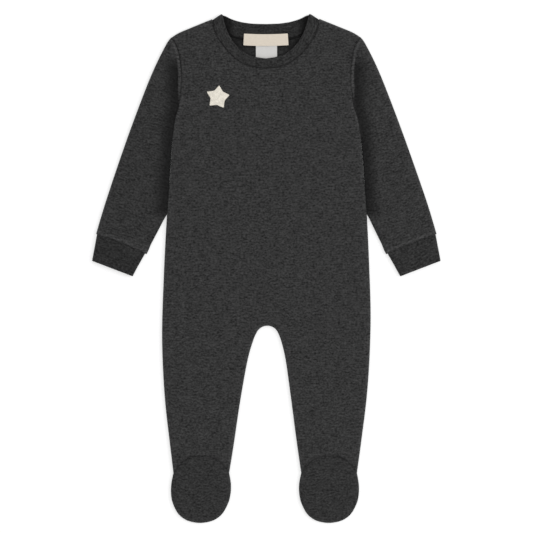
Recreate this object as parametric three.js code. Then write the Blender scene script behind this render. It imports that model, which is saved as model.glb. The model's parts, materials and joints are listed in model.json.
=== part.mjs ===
// A footed baby sleepsuit of charcoal knit, laid flat on its back with its front up.
// Millimetres. X runs across the suit, Y from the feet to the neck, and Z up from the surface that it lies on.
// The origin is on that surface, under the middle of the suit.
// Each cut piece is a thin closed wall: front, back, sleeves, cuffs, neckband, foot uppers, soles, star and labels.

import * as THREE from 'three';
import { mergeVertices } from 'three/addons/utils/BufferGeometryUtils.js';

// Thickness of the cloth, and how high it lies
const CLOTH = 1.5; // wall of the knit
const CUFF_WALL = 2.2; // the cuffs are folded double
const BAND_THICK = 2.6; // the neckband is folded double, and is firmer
const TRIM_THICK = 1.0; // star and labels
const SEAM_GAP = 0.3;
const NECK_GAP = 0.5; // the neck seam turns so tightly that it needs a little more
const SLEEVE_TIP_GAP = 0.5; // and so does the sleeve's point on the shoulder
const ANKLE_GAP = 0.5; // and the seams that end in a point at the ankle
const LOFT = 6.4; // top of the suit, away from its folded edges
const CUFF_LOFT = 6.8;
const RIM = 2.7; // height of a folded edge, half way round its fold
const EDGE_ROLL = 7; // how far in from a folded edge the top is rounded
const UNDER_ROLL = 4; // and the underside
const SLEEVE_TROUGH = 14; // the sleeve dips this far out from the body
const CUFF_ROLL = 4.8;
const CUFF_UNDER_ROLL = 3;

// Sizes of the suit in plan
const NECK_POINT = { x: 67.6, y: 311.2 }; // where the shoulder meets the neckband
const SHOULDER_TIP = { x: 117.5, y: 287.8 };
const UNDERARM = { x: 117.8, y: 160.9 };
const FRONT_NECK_Y = 249.4; // front neck seam on the centre line
const BACK_NECK_Y = 287.3; // back neck seam on the centre line
const CROTCH_Y = -70.9;
const CROTCH_RADIUS = 15;
const ANKLE_Y = -254.7;
const LEG_CENTRE = 80.1; // the foot's centre line
const ANKLE_HALF = 34.8; // half the width of the ankle
const FOOT_RADIUS = 37.4;
const TOE_CENTRE_Y = -280;
const ANKLE_BULGE = { in: 0.9, down: 9 }; // where the foot widens below the ankle
const INSTEP_RISE = 21.2; // how far the foot upper runs up over the leg
const HEEL_RISE = 14; // how far the sole runs up behind the heel
const ARCH_POWER = 2.6; // the two arches are a little squarer than a parabola
const SEAM_RIDGE = 0.7; // the cloth puffs up beside an armhole or cuff seam
const SEAM_RIDGE_WIDTH = 7;

// The star and the labels
const STAR = { x: -60.5, y: 214.4, outer: 15, inner: 9.2, lean: -8, points: 5 };
const NECK_LABEL = { width: 56, top: 294.9, bottom: 279, height: 2.9, drop: 0.3 };
const CARE_LABEL = { x: 0.3, width: 26, top: 286.8, bottom: 243, height: CLOTH + SEAM_GAP };

// Outline tables. Each row is a place on one edge of the right half, from the top down.
const ARMHOLE = [
  { x: SHOULDER_TIP.x, y: SHOULDER_TIP.y },
  { x: 112.2, y: 279.2 },
  { x: 107.9, y: 264 },
  { x: 105.7, y: 243 },
  { x: 106.6, y: 222 },
  { x: 109.6, y: 202 },
  { x: 114.3, y: 186 },
  { x: UNDERARM.x, y: UNDERARM.y },
];
const BODY_SIDE = [
  { x: UNDERARM.x, y: UNDERARM.y },
  { x: 121.4, y: 112 },
  { x: 125.1, y: 61 },
  { x: 128.3, y: -4 },
  { x: 130.1, y: -64 },
  { x: 129.1, y: -114 },
  { x: 125.7, y: -164 },
  { x: 119.8, y: -214 },
  { x: LEG_CENTRE + ANKLE_HALF, y: ANKLE_Y },
];
const INNER_LEG = [
  { x: 13, y: -78.4 },
  { x: 17.6, y: -89.1 },
  { x: 24.1, y: -114.1 },
  { x: 32.2, y: -164.1 },
  { x: 39.2, y: -214.1 },
  { x: LEG_CENTRE - ANKLE_HALF, y: ANKLE_Y },
];
const SHOULDER = [
  { x: NECK_POINT.x, y: NECK_POINT.y },
  { x: 94.9, y: 300.7 },
  { x: 108.5, y: 294.9 },
  { x: SHOULDER_TIP.x, y: SHOULDER_TIP.y },
];
const SLEEVE_OUTER = [
  { x: SHOULDER_TIP.x, y: SHOULDER_TIP.y },
  { x: 124.2, y: 280.9 },
  { x: 136.9, y: 255.9 },
  { x: 150.6, y: 223.4 },
  { x: 174, y: 160.9 },
  { x: 199.8, y: 85.9 },
  { x: 212.6, y: 43.6 },
];
const SLEEVE_INNER = [
  { x: UNDERARM.x + 0.5, y: UNDERARM.y },
  { x: 121.9, y: 112 },
  { x: 125.4, y: 69 },
  { x: 135.8, y: 48.4 },
  { x: 149.4, y: 20 },
];
const CUFF_OUTER = [
  { x: 211.6, y: 42.3 },
  { x: 214.8, y: 25 },
  { x: 217.6, y: 10.2 },
];
const CUFF_INNER = [
  { x: 151.2, y: 19.4 },
  { x: 159.6, y: 4.6 },
  { x: 167.1, y: -9.2 },
];

// The neckband: its seam and its folded edge on the right half, from the middle out to the shoulder
const FRONT_BAND = [
  { seamX: 0, seamY: FRONT_NECK_Y, foldX: 0, foldY: 261.6 },
  { seamX: 20.5, seamY: 252.6, foldX: 15.3, foldY: 264 },
  { seamX: 34.6, seamY: 259.3, foldX: 27.2, foldY: 269 },
  { seamX: 46.3, seamY: 269.8, foldX: 36.8, foldY: 277.2 },
  { seamX: 55.6, seamY: 281.2, foldX: 44.1, foldY: 287 },
  { seamX: 61.9, seamY: 291.6, foldX: 48.8, foldY: 296.3 },
  { seamX: 65.3, seamY: 301, foldX: 52, foldY: 306 },
  { seamX: 65.6, seamY: 308.4, foldX: 53.3, foldY: 314.3 },
];
const BACK_BAND = [
  { seamX: 0, seamY: BACK_NECK_Y, foldX: 0, foldY: 304.3 },
  { seamX: 22, seamY: 288.1, foldX: 15.5, foldY: 304.8 },
  { seamX: 40, seamY: 291.8, foldX: 32, foldY: 307 },
  { seamX: 54, seamY: 299.2, foldX: 44.4, foldY: 310.6 },
  { seamX: 65.6, seamY: 308.4, foldX: 53.3, foldY: 314.3 },
];
const BAND_TURN = 3; // steps round the fold at each shoulder end of the neckband
const BAND_RISE = 0.1; // the band stands a little above the front
const BAND_MIDDLE = 0.45; // share of the band's width at which its section has a row of its own
const BAND_ROUND = { in: 0.3, up: 0.72 }; // the folded edge is rounded here, in shares of half the thickness

// Where the grid lines run. Shares are of the stretch that each list covers, from the top down.
const NECK_STEPS = [0, 0.14, 0.28, 0.42, 0.57, 0.72, 0.87, 1]; // neck seam, from the shoulder to the centre line
const FRONT_CENTRE_Y = [202, 150]; // centre line, from under the neckband to beside the underarm
const BACK_CENTRE_Y = [215, 150];
const ARMHOLE_STEPS = [0, 0.03, 0.09, 0.19, 0.32, 0.47, 0.63, 0.78, 0.9, 0.97, 1];
const WAIST_STEPS = [0.1, 0.24, 0.4, 0.56, 0.72, 0.86, 0.945, 0.98, 1];
const LEG_ROW_Y = [-72.9, -78.4, -89, -102, -120, -142, -166, -190, -212, -230, -243, -250.5, ANKLE_Y];
const FRONT_COLUMNS = [0, 0.02, 0.07, 0.16, 0.3, 0.45, 0.6, 0.74, 0.85, 0.93, 0.98, 1];
const BACK_COLUMNS = [0, 0.05, 0.2, 0.5, 0.8, 0.95, 1];
const TUBE_COLUMNS = [0, 0.07, 0.15, 0.28, 0.5, 0.72, 0.87, 0.96, 1];
const SLEEVE_STEPS = [0.12, 0.28, 0.46, 0.64, 0.8, 0.9, 0.953, 0.977, 1]; // from the underarm to the cuff
const CUFF_STEPS = [0, 0.08, 0.5, 0.92, 1];
const FOOT_STEPS = [0, 0.1, 0.28, 0.5, 0.7, 0.85, 0.95, 1];
const SOLE_STEPS = [0, 0.25, 0.6, 0.88, 1];
const ARCH_TOP_Y = -71.3; // one more step at the top of the crotch's arch
const CURVE_SAMPLES = 24; // for each row of an outline table
const WELD = 1e-4; // points closer than this are one
const ON_FOLD = 0.2; // and those closer than this to a folded edge lie on it
const SLEEVE_UNDERARM_SHARE = 0.457; // the row from the underarm meets the sleeve's outer edge here
const SHOULDER_FADE = 40; // how far down the shoulder's curve is still felt in the rows
const ANKLE_FADE = 70; // and how far up the ankle's arch is
const CROTCH_FADE = 24; // rows near the crotch start square to its arch
const CROTCH_LIFT_SHARE = 0.08;
const CUFF_ARCH = 1.6; // the cuff seam bows a little towards the hand
const CUFF_ARCH_FADE = 20;

// Materials
const CHARCOAL = new THREE.MeshStandardMaterial({ color: 0x39393a, roughness: 0.95, metalness: 0 });
const CHARCOAL_DOUBLE = new THREE.MeshStandardMaterial({ color: 0x323233, roughness: 0.95, metalness: 0 });
const CREAM = new THREE.MeshStandardMaterial({ color: 0xe6e0d3, roughness: 0.9, metalness: 0 });
const LABEL_WEAVE = new THREE.MeshStandardMaterial({ color: 0xd8cfc0, roughness: 0.7, metalness: 0 });
const LABEL_SATIN = new THREE.MeshStandardMaterial({ color: 0xe4e3e0, roughness: 0.5, metalness: 0 });

// Plan curves

function smoothLine(rows) {
  return new THREE.SplineCurve(rows.map((row) => new THREE.Vector2(row.x, row.y)));
}

function fade(t) {
  const s = THREE.MathUtils.clamp(t, 0, 1);
  return 1 - s * s * (3 - 2 * s);
}

// Moves a line of points sideways in plan, to the left of its direction where the distance is positive.
function besideLine(points, distance) {
  return points.map((point, i) => {
    const before = points[Math.max(i - 1, 0)];
    const after = points[Math.min(i + 1, points.length - 1)];
    const along = after.clone().sub(before).normalize();
    return new THREE.Vector2(point.x - along.y * distance, point.y + along.x * distance);
  });
}

// The crotch is a round arch, and the inner leg runs on from it.
function innerLegX(y) {
  const last = INNER_LEG[0];
  if (y >= last.y) {
    const below = Math.min(Math.max(CROTCH_Y - y, 0), CROTCH_RADIUS);
    return Math.sqrt(2 * CROTCH_RADIUS * below - below * below);
  }
  return lineX(INNER_LEG, y);
}

// X on an outline that runs steadily down in Y.
function lineX(rows, y) {
  const points = smoothLine(rows).getPoints(rows.length * CURVE_SAMPLES);
  const next = Math.max(1, points.findIndex((point) => point.y <= y + WELD));
  const above = points[next - 1];
  const below = points[next];
  const share = (above.y - y) / (above.y - below.y);
  return THREE.MathUtils.lerp(above.x, below.x, THREE.MathUtils.clamp(share, 0, 1));
}

// The arch over the instep, or behind the heel, from the inner ankle to the outer one.
function ankleArch(share, rise) {
  const across = 2 * share - 1;
  const up = rise * (1 - Math.abs(across) ** ARCH_POWER);
  return new THREE.Vector2(LEG_CENTRE + across * ANKLE_HALF, ANKLE_Y + up);
}

// One side of the foot from the ankle to the start of the toe's arc. Side is 1 for the outer one, -1 for the inner.
function footSide(side) {
  const path = new THREE.CurvePath();
  const waist = [
    new THREE.Vector2(LEG_CENTRE + side * ANKLE_HALF, ANKLE_Y),
    new THREE.Vector2(LEG_CENTRE + side * (FOOT_RADIUS - ANKLE_BULGE.in), ANKLE_Y - ANKLE_BULGE.down),
    new THREE.Vector2(LEG_CENTRE + side * FOOT_RADIUS, TOE_CENTRE_Y),
  ];
  const from = side > 0 ? 0 : Math.PI;
  const to = side > 0 ? -Math.PI / 4 : Math.PI * 1.25;
  path.add(new THREE.SplineCurve(waist));
  path.add(new THREE.EllipseCurve(LEG_CENTRE, TOE_CENTRE_Y, FOOT_RADIUS, FOOT_RADIUS, from, to, side > 0));
  return path;
}

const toeArc = new THREE.EllipseCurve(
  LEG_CENTRE, TOE_CENTRE_Y, FOOT_RADIUS, FOOT_RADIUS, Math.PI * 1.25, Math.PI * 1.75, false,
);

// Folded edges, where the cloth rounds over from the front of the suit to its back

function foldLine(points, topRoll, underRoll) {
  return { points, topRoll, underRoll };
}

function crotchAndLeg() {
  const rows = [CROTCH_Y, ARCH_TOP_Y, ...LEG_ROW_Y];
  return rows.map((y) => new THREE.Vector2(innerLegX(y), y));
}

const shoulderFold = foldLine(smoothLine(SHOULDER).getSpacedPoints(12), EDGE_ROLL, UNDER_ROLL);
const sideFold = foldLine(smoothLine(BODY_SIDE).getSpacedPoints(60), EDGE_ROLL, UNDER_ROLL);
const legFold = foldLine(crotchAndLeg(), EDGE_ROLL, UNDER_ROLL);
const footFolds = [
  foldLine(footSide(1).getSpacedPoints(20), EDGE_ROLL, UNDER_ROLL),
  foldLine(footSide(-1).getSpacedPoints(20), EDGE_ROLL, UNDER_ROLL),
  foldLine(toeArc.getSpacedPoints(16), EDGE_ROLL, UNDER_ROLL),
];
const outerSleeveFold = foldLine(smoothLine(SLEEVE_OUTER).getSpacedPoints(30), EDGE_ROLL, UNDER_ROLL);
const innerSleeveFold = foldLine(smoothLine(SLEEVE_INNER).getSpacedPoints(24), SLEEVE_TROUGH, UNDER_ROLL);
const cuffFolds = [
  foldLine(smoothLine(CUFF_OUTER).getSpacedPoints(4), CUFF_ROLL, CUFF_UNDER_ROLL),
  foldLine(smoothLine(CUFF_INNER).getSpacedPoints(4), CUFF_ROLL, CUFF_UNDER_ROLL),
];
const bodyFolds = [shoulderFold, outerSleeveFold, sideFold, legFold, ...footFolds];
const sleeveFolds = [shoulderFold, outerSleeveFold, innerSleeveFold];

function distanceTo(points, x, y) {
  let nearest = Infinity;
  for (let i = 1; i < points.length; i += 1) {
    const a = points[i - 1];
    const b = points[i];
    const dx = b.x - a.x;
    const dy = b.y - a.y;
    const share = THREE.MathUtils.clamp(((x - a.x) * dx + (y - a.y) * dy) / (dx * dx + dy * dy), 0, 1);
    nearest = Math.min(nearest, Math.hypot(x - a.x - share * dx, y - a.y - share * dy));
  }
  return nearest;
}

function roundOver(share) {
  const t = Math.min(share, 1);
  return Math.sqrt(t * (2 - t));
}

// Height of the upper face of the top layer.
function topHeight(folds, x, y, loft = LOFT, rim = RIM) {
  const rises = folds.map((fold) => roundOver(distanceTo(fold.points, Math.abs(x), y) / fold.topRoll));
  return rim + (loft - rim) * Math.min(...rises);
}

// Height of the lower face of the layer that lies on the surface.
function underHeight(folds, x, y, rim = RIM) {
  const rises = folds.map((fold) => roundOver(distanceTo(fold.points, Math.abs(x), y) / fold.underRoll));
  return rim * (1 - Math.min(...rises));
}

// Cloth pieces

// False for a triangle with two corners in one place, such as at the sleeve's point on the shoulder.
function isWhole([a, b, c]) {
  return Math.min(a.distanceTo(b), b.distanceTo(c), c.distanceTo(a)) > WELD;
}

// Triangles of one face of the cloth, from grids of points. Neighbouring grids are welded where they meet.
function surfaceOf(grids) {
  const corners = [];
  for (const { rows, flip } of grids) {
    for (let i = 1; i < rows.length; i += 1) {
      for (let j = 1; j < rows[i].length; j += 1) {
        const cell = [rows[i - 1][j - 1], rows[i][j - 1], rows[i][j], rows[i - 1][j]];
        const halves = flip ? [[0, 2, 1], [0, 3, 2]] : [[0, 1, 2], [0, 2, 3]];
        const triangles = halves.map((half) => half.map((k) => cell[k]));
        corners.push(...triangles.filter(isWhole).flat());
      }
    }
  }
  const loose = new THREE.BufferGeometry().setFromPoints(corners);
  return mergeVertices(loose, WELD);
}

// A wall of cloth: its outer face, the same face moved in by the wall, and a strip round every open edge.
function wallOf(surface, wall, isFold) {
  surface.computeVertexNormals();
  const outer = surface.attributes.position;
  const normal = surface.attributes.normal;
  const faces = Array.from(surface.index.array);
  const count = outer.count;
  const open = new Map();
  for (let i = 0; i < faces.length; i += 3) {
    for (const [a, b] of [[0, 1], [1, 2], [2, 0]]) {
      const from = faces[i + a];
      const to = faces[i + b];
      const back = `${to},${from}`;
      if (open.has(back)) open.delete(back);
      else open.set(`${from},${to}`, [from, to]);
    }
  }
  const rimPoints = new Set([...open.values()].flat());
  const positions = new Float32Array(count * 6);
  positions.set(outer.array);
  for (let i = 0; i < count; i += 1) {
    const direction = new THREE.Vector3().fromBufferAttribute(normal, i);
    const point = new THREE.Vector3().fromBufferAttribute(outer, i);
    if (rimPoints.has(i) && isFold(point)) direction.setZ(0).normalize();
    point.addScaledVector(direction, -wall).toArray(positions, (count + i) * 3);
  }
  const solid = [...faces];
  for (let i = 0; i < faces.length; i += 3) {
    solid.push(faces[i] + count, faces[i + 2] + count, faces[i + 1] + count);
  }
  for (const [from, to] of open.values()) {
    solid.push(to, from, from + count, to, from + count, to + count);
  }
  const geometry = new THREE.BufferGeometry();
  geometry.setAttribute('position', new THREE.BufferAttribute(positions, 3));
  geometry.setIndex(solid);
  return finished(geometry);
}

function finished(geometry) {
  geometry.computeVertexNormals();
  return geometry;
}

function mirrored(rows) {
  return rows.map((row) => row.map((point) => new THREE.Vector3(-point.x, point.y, point.z)));
}

function nearFold(folds) {
  return (point) => folds.some((fold) => distanceTo(fold.points, Math.abs(point.x), point.y) < ON_FOLD);
}

// Front and back panels

// Half of a panel in plan. Rows run from the neck seam, the centre line or the inner leg out to the armhole or side.
function halfPanel({ neckLine, centreY, columns, archRise }) {
  const shoulder = smoothLine(SHOULDER);
  const armhole = smoothLine(ARMHOLE);
  const inner = [
    ...neckLine,
    ...centreY.map((y) => new THREE.Vector2(0, y)),
    ...WAIST_STEPS.map((share) => new THREE.Vector2(0, THREE.MathUtils.lerp(centreY[1], CROTCH_Y, share))),
    ...LEG_ROW_Y.map((y) => new THREE.Vector2(innerLegX(y), y)),
  ];
  const waistY = WAIST_STEPS.map((share) => THREE.MathUtils.lerp(UNDERARM.y, CROTCH_Y, share));
  const outer = [
    ...ARMHOLE_STEPS.map((share) => armhole.getPointAt(share)),
    ...[...waistY, ...LEG_ROW_Y].map((y) => new THREE.Vector2(lineX(BODY_SIDE, y), y)),
  ];
  const last = inner.length - 1;
  return inner.map((start, i) => {
    const end = outer[i];
    const shoulderShare = fade((SHOULDER_TIP.y - end.y) / SHOULDER_FADE);
    const ankleShare = fade((end.y - ANKLE_Y) / ANKLE_FADE);
    const lift = fade(Math.abs(end.y - CROTCH_Y) / CROTCH_FADE) * start.distanceTo(end);
    return columns.map((share) => {
      const point = start.clone().lerp(end, share);
      const shoulderShape = shoulder.getPointAt(share).sub(inner[0].clone().lerp(outer[0], share));
      const ankleShape = ankleArch(share, archRise).sub(inner[last].clone().lerp(outer[last], share));
      point.addScaledVector(shoulderShape, share > 0 ? shoulderShare : 0);
      point.addScaledVector(ankleShape, ankleShare);
      point.y += lift * share * Math.exp(-share / CROTCH_LIFT_SHARE);
      return point;
    });
  });
}

function bandCurve(table, x, y) {
  return smoothLine(table.map((row) => ({ x: row[x], y: row[y] })));
}

// The panel's neck edge, from the shoulder to the centre line, stands off the band's seam.
function neckEdge(table) {
  const seam = bandCurve(table, 'seamX', 'seamY');
  const edge = besideLine(NECK_STEPS.map((share) => seam.getPointAt(1 - share)), NECK_GAP);
  edge[edge.length - 1].x = 0;
  return [new THREE.Vector2(NECK_POINT.x, NECK_POINT.y), ...edge];
}

function raised(plan, heightAt) {
  return plan.map((row) => row.map((point) => new THREE.Vector3(point.x, point.y, heightAt(point.x, point.y))));
}

function frontGeometry() {
  const plan = halfPanel({
    neckLine: neckEdge(FRONT_BAND),
    centreY: FRONT_CENTRE_Y,
    columns: FRONT_COLUMNS,
    archRise: INSTEP_RISE,
  });
  const rim = RIM + SEAM_GAP / 2;
  const right = raised(plan, (x, y) => topHeight(bodyFolds, x, y, LOFT, rim));
  const surface = surfaceOf([{ rows: right, flip: false }, { rows: mirrored(right), flip: true }]);
  return wallOf(surface, CLOTH, nearFold(bodyFolds));
}

function backGeometry() {
  const plan = halfPanel({
    neckLine: neckEdge(BACK_BAND),
    centreY: BACK_CENTRE_Y,
    columns: BACK_COLUMNS,
    archRise: HEEL_RISE,
  });
  const rim = RIM - SEAM_GAP / 2;
  const right = raised(plan, (x, y) => underHeight(bodyFolds, x, y, rim));
  const surface = surfaceOf([{ rows: right, flip: true }, { rows: mirrored(right), flip: false }]);
  return wallOf(surface, CLOTH, nearFold(bodyFolds));
}

// A patch in plan between four edge curves, each given as a list of points.
function patchBetween(top, bottom, left, right) {
  const rows = left.length - 1;
  const columns = top.length - 1;
  return left.map((leftPoint, i) => top.map((topPoint, j) => {
    const v = shareAlong(left, i, rows);
    const u = shareAlong(top, j, columns);
    const across = leftPoint.clone().lerp(right[i], u);
    const down = topPoint.clone().lerp(bottom[j], v);
    const corner = top[0].clone().lerp(top[columns], u).lerp(bottom[0].clone().lerp(bottom[columns], u), v);
    return across.add(down).sub(corner);
  }));
}

function shareAlong(points, index, last) {
  const lengths = points.map((point, i) => (i === 0 ? 0 : point.distanceTo(points[i - 1])));
  const total = lengths.reduce((sum, length) => sum + length, 0);
  if (index === last) return 1;
  return lengths.slice(0, index + 1).reduce((sum, length) => sum + length, 0) / total;
}

// Sleeves and cuffs: flattened tubes, each one wall with a top and an under layer

const armholeEdge = besideLine(ARMHOLE_STEPS.map((share) => smoothLine(ARMHOLE).getPointAt(share)), SEAM_GAP);
armholeEdge[0].x += SLEEVE_TIP_GAP;
armholeEdge[armholeEdge.length - 1].set(SLEEVE_INNER[0].x, SLEEVE_INNER[0].y);

// The cuff seam's bow, at a share of the way across and a distance up the sleeve.
function bowed(point, inner, outer, share, distance) {
  const across = outer.clone().sub(inner).normalize();
  const bow = CUFF_ARCH * Math.sin(Math.PI * share) * fade(distance / CUFF_ARCH_FADE);
  return point.add(new THREE.Vector2(across.y, -across.x).multiplyScalar(bow));
}

// A tube's two layers meet at its folded edges, and stay apart along the armhole.
function tubeGeometry(plan, { folds, loft, wall, ridgeAt, openRows }) {
  const top = raised(plan, (x, y) => topHeight(folds, x, y, loft) + ridgeAt(x, y));
  const under = raised(plan, (x, y) => underHeight(folds, x, y));
  top.forEach((row, i) => {
    const last = row.length - 1;
    const foldedAt = i > 0 && i < openRows ? [last] : [0, last];
    for (const j of foldedAt) {
      row[j].z = RIM;
      under[i][j].copy(row[j]);
    }
  });
  const surface = surfaceOf([{ rows: top, flip: false }, { rows: under, flip: true }]);
  return wallOf(surface, wall, () => false);
}

function sleeveGeometry() {
  const innerFold = smoothLine(SLEEVE_INNER);
  const outerFold = smoothLine(SLEEVE_OUTER);
  const inner = [...armholeEdge, ...SLEEVE_STEPS.map((share) => innerFold.getPointAt(share))];
  const outerShares = [
    ...ARMHOLE_STEPS.map((share) => share * SLEEVE_UNDERARM_SHARE),
    ...SLEEVE_STEPS.map((share) => THREE.MathUtils.lerp(SLEEVE_UNDERARM_SHARE, 1, share)),
  ];
  const outer = outerShares.map((share) => outerFold.getPointAt(share));
  outer[0].copy(inner[0]);
  const length = outerFold.getLength();
  const plan = inner.map((start, i) => TUBE_COLUMNS.map((share) => {
    const point = start.clone().lerp(outer[i], share);
    return i === 0 ? point : bowed(point, start, outer[i], share, (1 - outerShares[i]) * length);
  }));
  const seams = [armholeEdge, plan[plan.length - 1]];
  const ridgeAt = (x, y) => {
    const near = Math.min(...seams.map((seam) => distanceTo(seam, x, y)));
    return near < SEAM_RIDGE_WIDTH ? SEAM_RIDGE * Math.sin(Math.PI * near / SEAM_RIDGE_WIDTH) : 0;
  };
  const shape = { folds: sleeveFolds, loft: LOFT, wall: CLOTH, ridgeAt, openRows: ARMHOLE_STEPS.length - 1 };
  return tubeGeometry(plan, shape);
}

function cuffGeometry() {
  const outerFold = smoothLine(CUFF_OUTER);
  const innerFold = smoothLine(CUFF_INNER);
  const plan = CUFF_STEPS.map((step) => {
    const inner = innerFold.getPointAt(step);
    const outer = outerFold.getPointAt(step);
    const distance = step * CUFF_ARCH_FADE;
    return TUBE_COLUMNS.map((share) => bowed(inner.clone().lerp(outer, share), inner, outer, share, distance));
  });
  const shape = { folds: cuffFolds, loft: CUFF_LOFT, wall: CUFF_WALL, ridgeAt: () => 0, openRows: 0 };
  return tubeGeometry(plan, shape);
}

// Feet

function footPlan(columnShares, rowShares, rise) {
  const arch = besideLine(columnShares.map((share) => ankleArch(share, rise)), -ANKLE_GAP);
  const inner = rowShares.map((share) => footSide(-1).getPointAt(share));
  const outer = rowShares.map((share) => footSide(1).getPointAt(share));
  inner[0].copy(arch[0]);
  outer[0].copy(arch[arch.length - 1]);
  const toes = columnShares.map((share) => toeArc.getPointAt(share));
  return patchBetween(arch, toes, inner, outer);
}

function footUpperGeometry() {
  const plan = footPlan(FRONT_COLUMNS, FOOT_STEPS, INSTEP_RISE);
  const rim = RIM + SEAM_GAP / 2;
  const rows = raised(plan, (x, y) => topHeight(bodyFolds, x, y, LOFT, rim));
  return wallOf(surfaceOf([{ rows, flip: false }]), CLOTH, nearFold(bodyFolds));
}

function soleGeometry() {
  const plan = footPlan(BACK_COLUMNS, SOLE_STEPS, HEEL_RISE);
  const rim = RIM - SEAM_GAP / 2;
  const rows = raised(plan, (x, y) => underHeight(bodyFolds, x, y, rim));
  return wallOf(surfaceOf([{ rows, flip: true }]), CLOTH, nearFold(bodyFolds));
}

// Neckband: one closed ring, folded flat, that turns over at the two shoulders

function bandStations() {
  const half = BAND_THICK / 2;
  const frontZ = LOFT + BAND_RISE - half;
  const backZ = half;
  const turn = (frontZ - backZ) / 2;
  const up = new THREE.Vector3(0, 0, 1);
  const station = (seam, fold, height, out) => ({
    seam: new THREE.Vector3(seam.x, seam.y, height),
    fold: new THREE.Vector3(fold.x, fold.y, height),
    out,
  });
  const shares = NECK_STEPS.map((share) => 1 - share).reverse();
  const run = (table, height, out) => {
    const seam = bandCurve(table, 'seamX', 'seamY');
    const fold = bandCurve(table, 'foldX', 'foldY');
    return shares.map((share) => station(seam.getPointAt(share), fold.getPointAt(share), height, out));
  };
  const front = run(FRONT_BAND, frontZ, up);
  const back = run(BACK_BAND, backZ, up.clone().negate());
  const end = front[front.length - 1];
  const across = end.fold.clone().sub(end.seam).normalize();
  const outward = new THREE.Vector3(across.y, -across.x, 0);
  const bend = [];
  for (let i = 1; i <= BAND_TURN; i += 1) {
    const angle = (Math.PI * i) / (BAND_TURN + 1);
    const out = up.clone().multiplyScalar(Math.cos(angle)).addScaledVector(outward, Math.sin(angle));
    const move = outward.clone().multiplyScalar(turn * Math.sin(angle));
    move.z = turn * (Math.cos(angle) - 1);
    bend.push({ seam: end.seam.clone().add(move), fold: end.fold.clone().add(move), out });
  }
  const flipX = ({ seam, fold, out }) => ({
    seam: new THREE.Vector3(-seam.x, seam.y, seam.z),
    fold: new THREE.Vector3(-fold.x, fold.y, fold.z),
    out: new THREE.Vector3(-out.x, out.y, out.z),
  });
  const right = [...front, ...bend, ...back.reverse()];
  const left = right.slice(1, -1).reverse().map(flipX);
  return [...right, ...left];
}

function neckbandGeometry() {
  const h = BAND_THICK / 2;
  const rows = bandStations().map(({ seam, fold, out }) => {
    const across = fold.clone().sub(seam);
    const width = across.length();
    across.normalize();
    const upper = [
      [0, h],
      [width * BAND_MIDDLE, h],
      [width - h, h],
      [width - BAND_ROUND.in * h, BAND_ROUND.up * h],
    ];
    const lower = upper.map(([s, n]) => [s, -n]).reverse();
    const section = [...upper, [width, 0], ...lower];
    return section.map(([s, n]) => seam.clone().addScaledVector(across, s).addScaledVector(out, n));
  });
  rows.push(rows[0]);
  const closed = rows.map((row) => [...row, row[0]]);
  return finished(surfaceOf([{ rows: closed, flip: false }]));
}

// Star and labels

function starGeometry() {
  const shape = new THREE.Shape();
  for (let i = 0; i < STAR.points * 2; i += 1) {
    const radius = i % 2 === 0 ? STAR.outer : STAR.inner;
    const angle = Math.PI / 2 + (i * Math.PI) / STAR.points;
    const place = [radius * Math.cos(angle), radius * Math.sin(angle)];
    if (i === 0) shape.moveTo(...place);
    else shape.lineTo(...place);
  }
  shape.closePath();
  return new THREE.ExtrudeGeometry(shape, { depth: TRIM_THICK, bevelEnabled: false });
}

function labelGeometry({ width, top, bottom, drop = 0 }) {
  const half = width / 2;
  const plan = [
    [new THREE.Vector3(-half, top, 0), new THREE.Vector3(half, top, 0)],
    [new THREE.Vector3(-half, bottom, drop), new THREE.Vector3(half, bottom, drop)],
  ];
  return wallOf(surfaceOf([{ rows: plan, flip: true }]), TRIM_THICK, () => false);
}

// Assembly

const suit = new THREE.Group();

function place(name, geometry, material) {
  const mesh = new THREE.Mesh(geometry, material);
  mesh.name = name;
  suit.add(mesh);
  return mesh;
}

// The same piece on the suit's other side, with its faces turned to point out again.
function otherSide(geometry) {
  const copy = geometry.clone();
  copy.scale(-1, 1, 1);
  const faces = copy.index.array;
  for (let i = 0; i < faces.length; i += 3) {
    [faces[i + 1], faces[i + 2]] = [faces[i + 2], faces[i + 1]];
  }
  return finished(copy);
}

function placePair(name, geometry, material) {
  place(`${name}_right`, geometry, material);
  place(`${name}_left`, otherSide(geometry), material);
}

place('front', frontGeometry(), CHARCOAL);
place('back', backGeometry(), CHARCOAL);
placePair('sleeve', sleeveGeometry(), CHARCOAL);
placePair('cuff', cuffGeometry(), CHARCOAL_DOUBLE);
placePair('foot_upper', footUpperGeometry(), CHARCOAL_DOUBLE);
placePair('sole', soleGeometry(), CHARCOAL_DOUBLE);
place('neckband', neckbandGeometry(), CHARCOAL_DOUBLE);

const star = place('star', starGeometry(), CREAM);
star.position.set(STAR.x, STAR.y, LOFT + SEAM_GAP);
star.rotation.z = THREE.MathUtils.degToRad(STAR.lean);
place('neck_label', labelGeometry(NECK_LABEL), LABEL_WEAVE).position.z = NECK_LABEL.height;
place('care_label', labelGeometry(CARE_LABEL), LABEL_SATIN).position.set(CARE_LABEL.x, 0, CARE_LABEL.height);

export default suit;
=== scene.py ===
# %% [markdown]
# # A footed baby sleepsuit, laid flat with its front up
# The suit is charcoal heather jersey, cut as a front, a back, two sleeves, two cuffs, a neckband, and an
# upper and a sole for each foot. A cream star is stitched to the chest, and two bare labels are sewn in at
# the back neck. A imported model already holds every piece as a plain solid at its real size. This notebook
# cuts each piece again as fine cloth on that solid's form: rounded folds, seams that sink between puffed
# edges, soft creases, threads and knit. The script works in metres. The outline tables are in millimetres,
# as a pattern cutter reads them, and MM turns them into metres. X runs across the suit, Y from the feet to
# the neck, and Z up from the surface that it lies on.

import json
import math

import bpy
import numpy as np
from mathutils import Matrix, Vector
from mathutils.geometry import delaunay_2d_cdt

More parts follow.
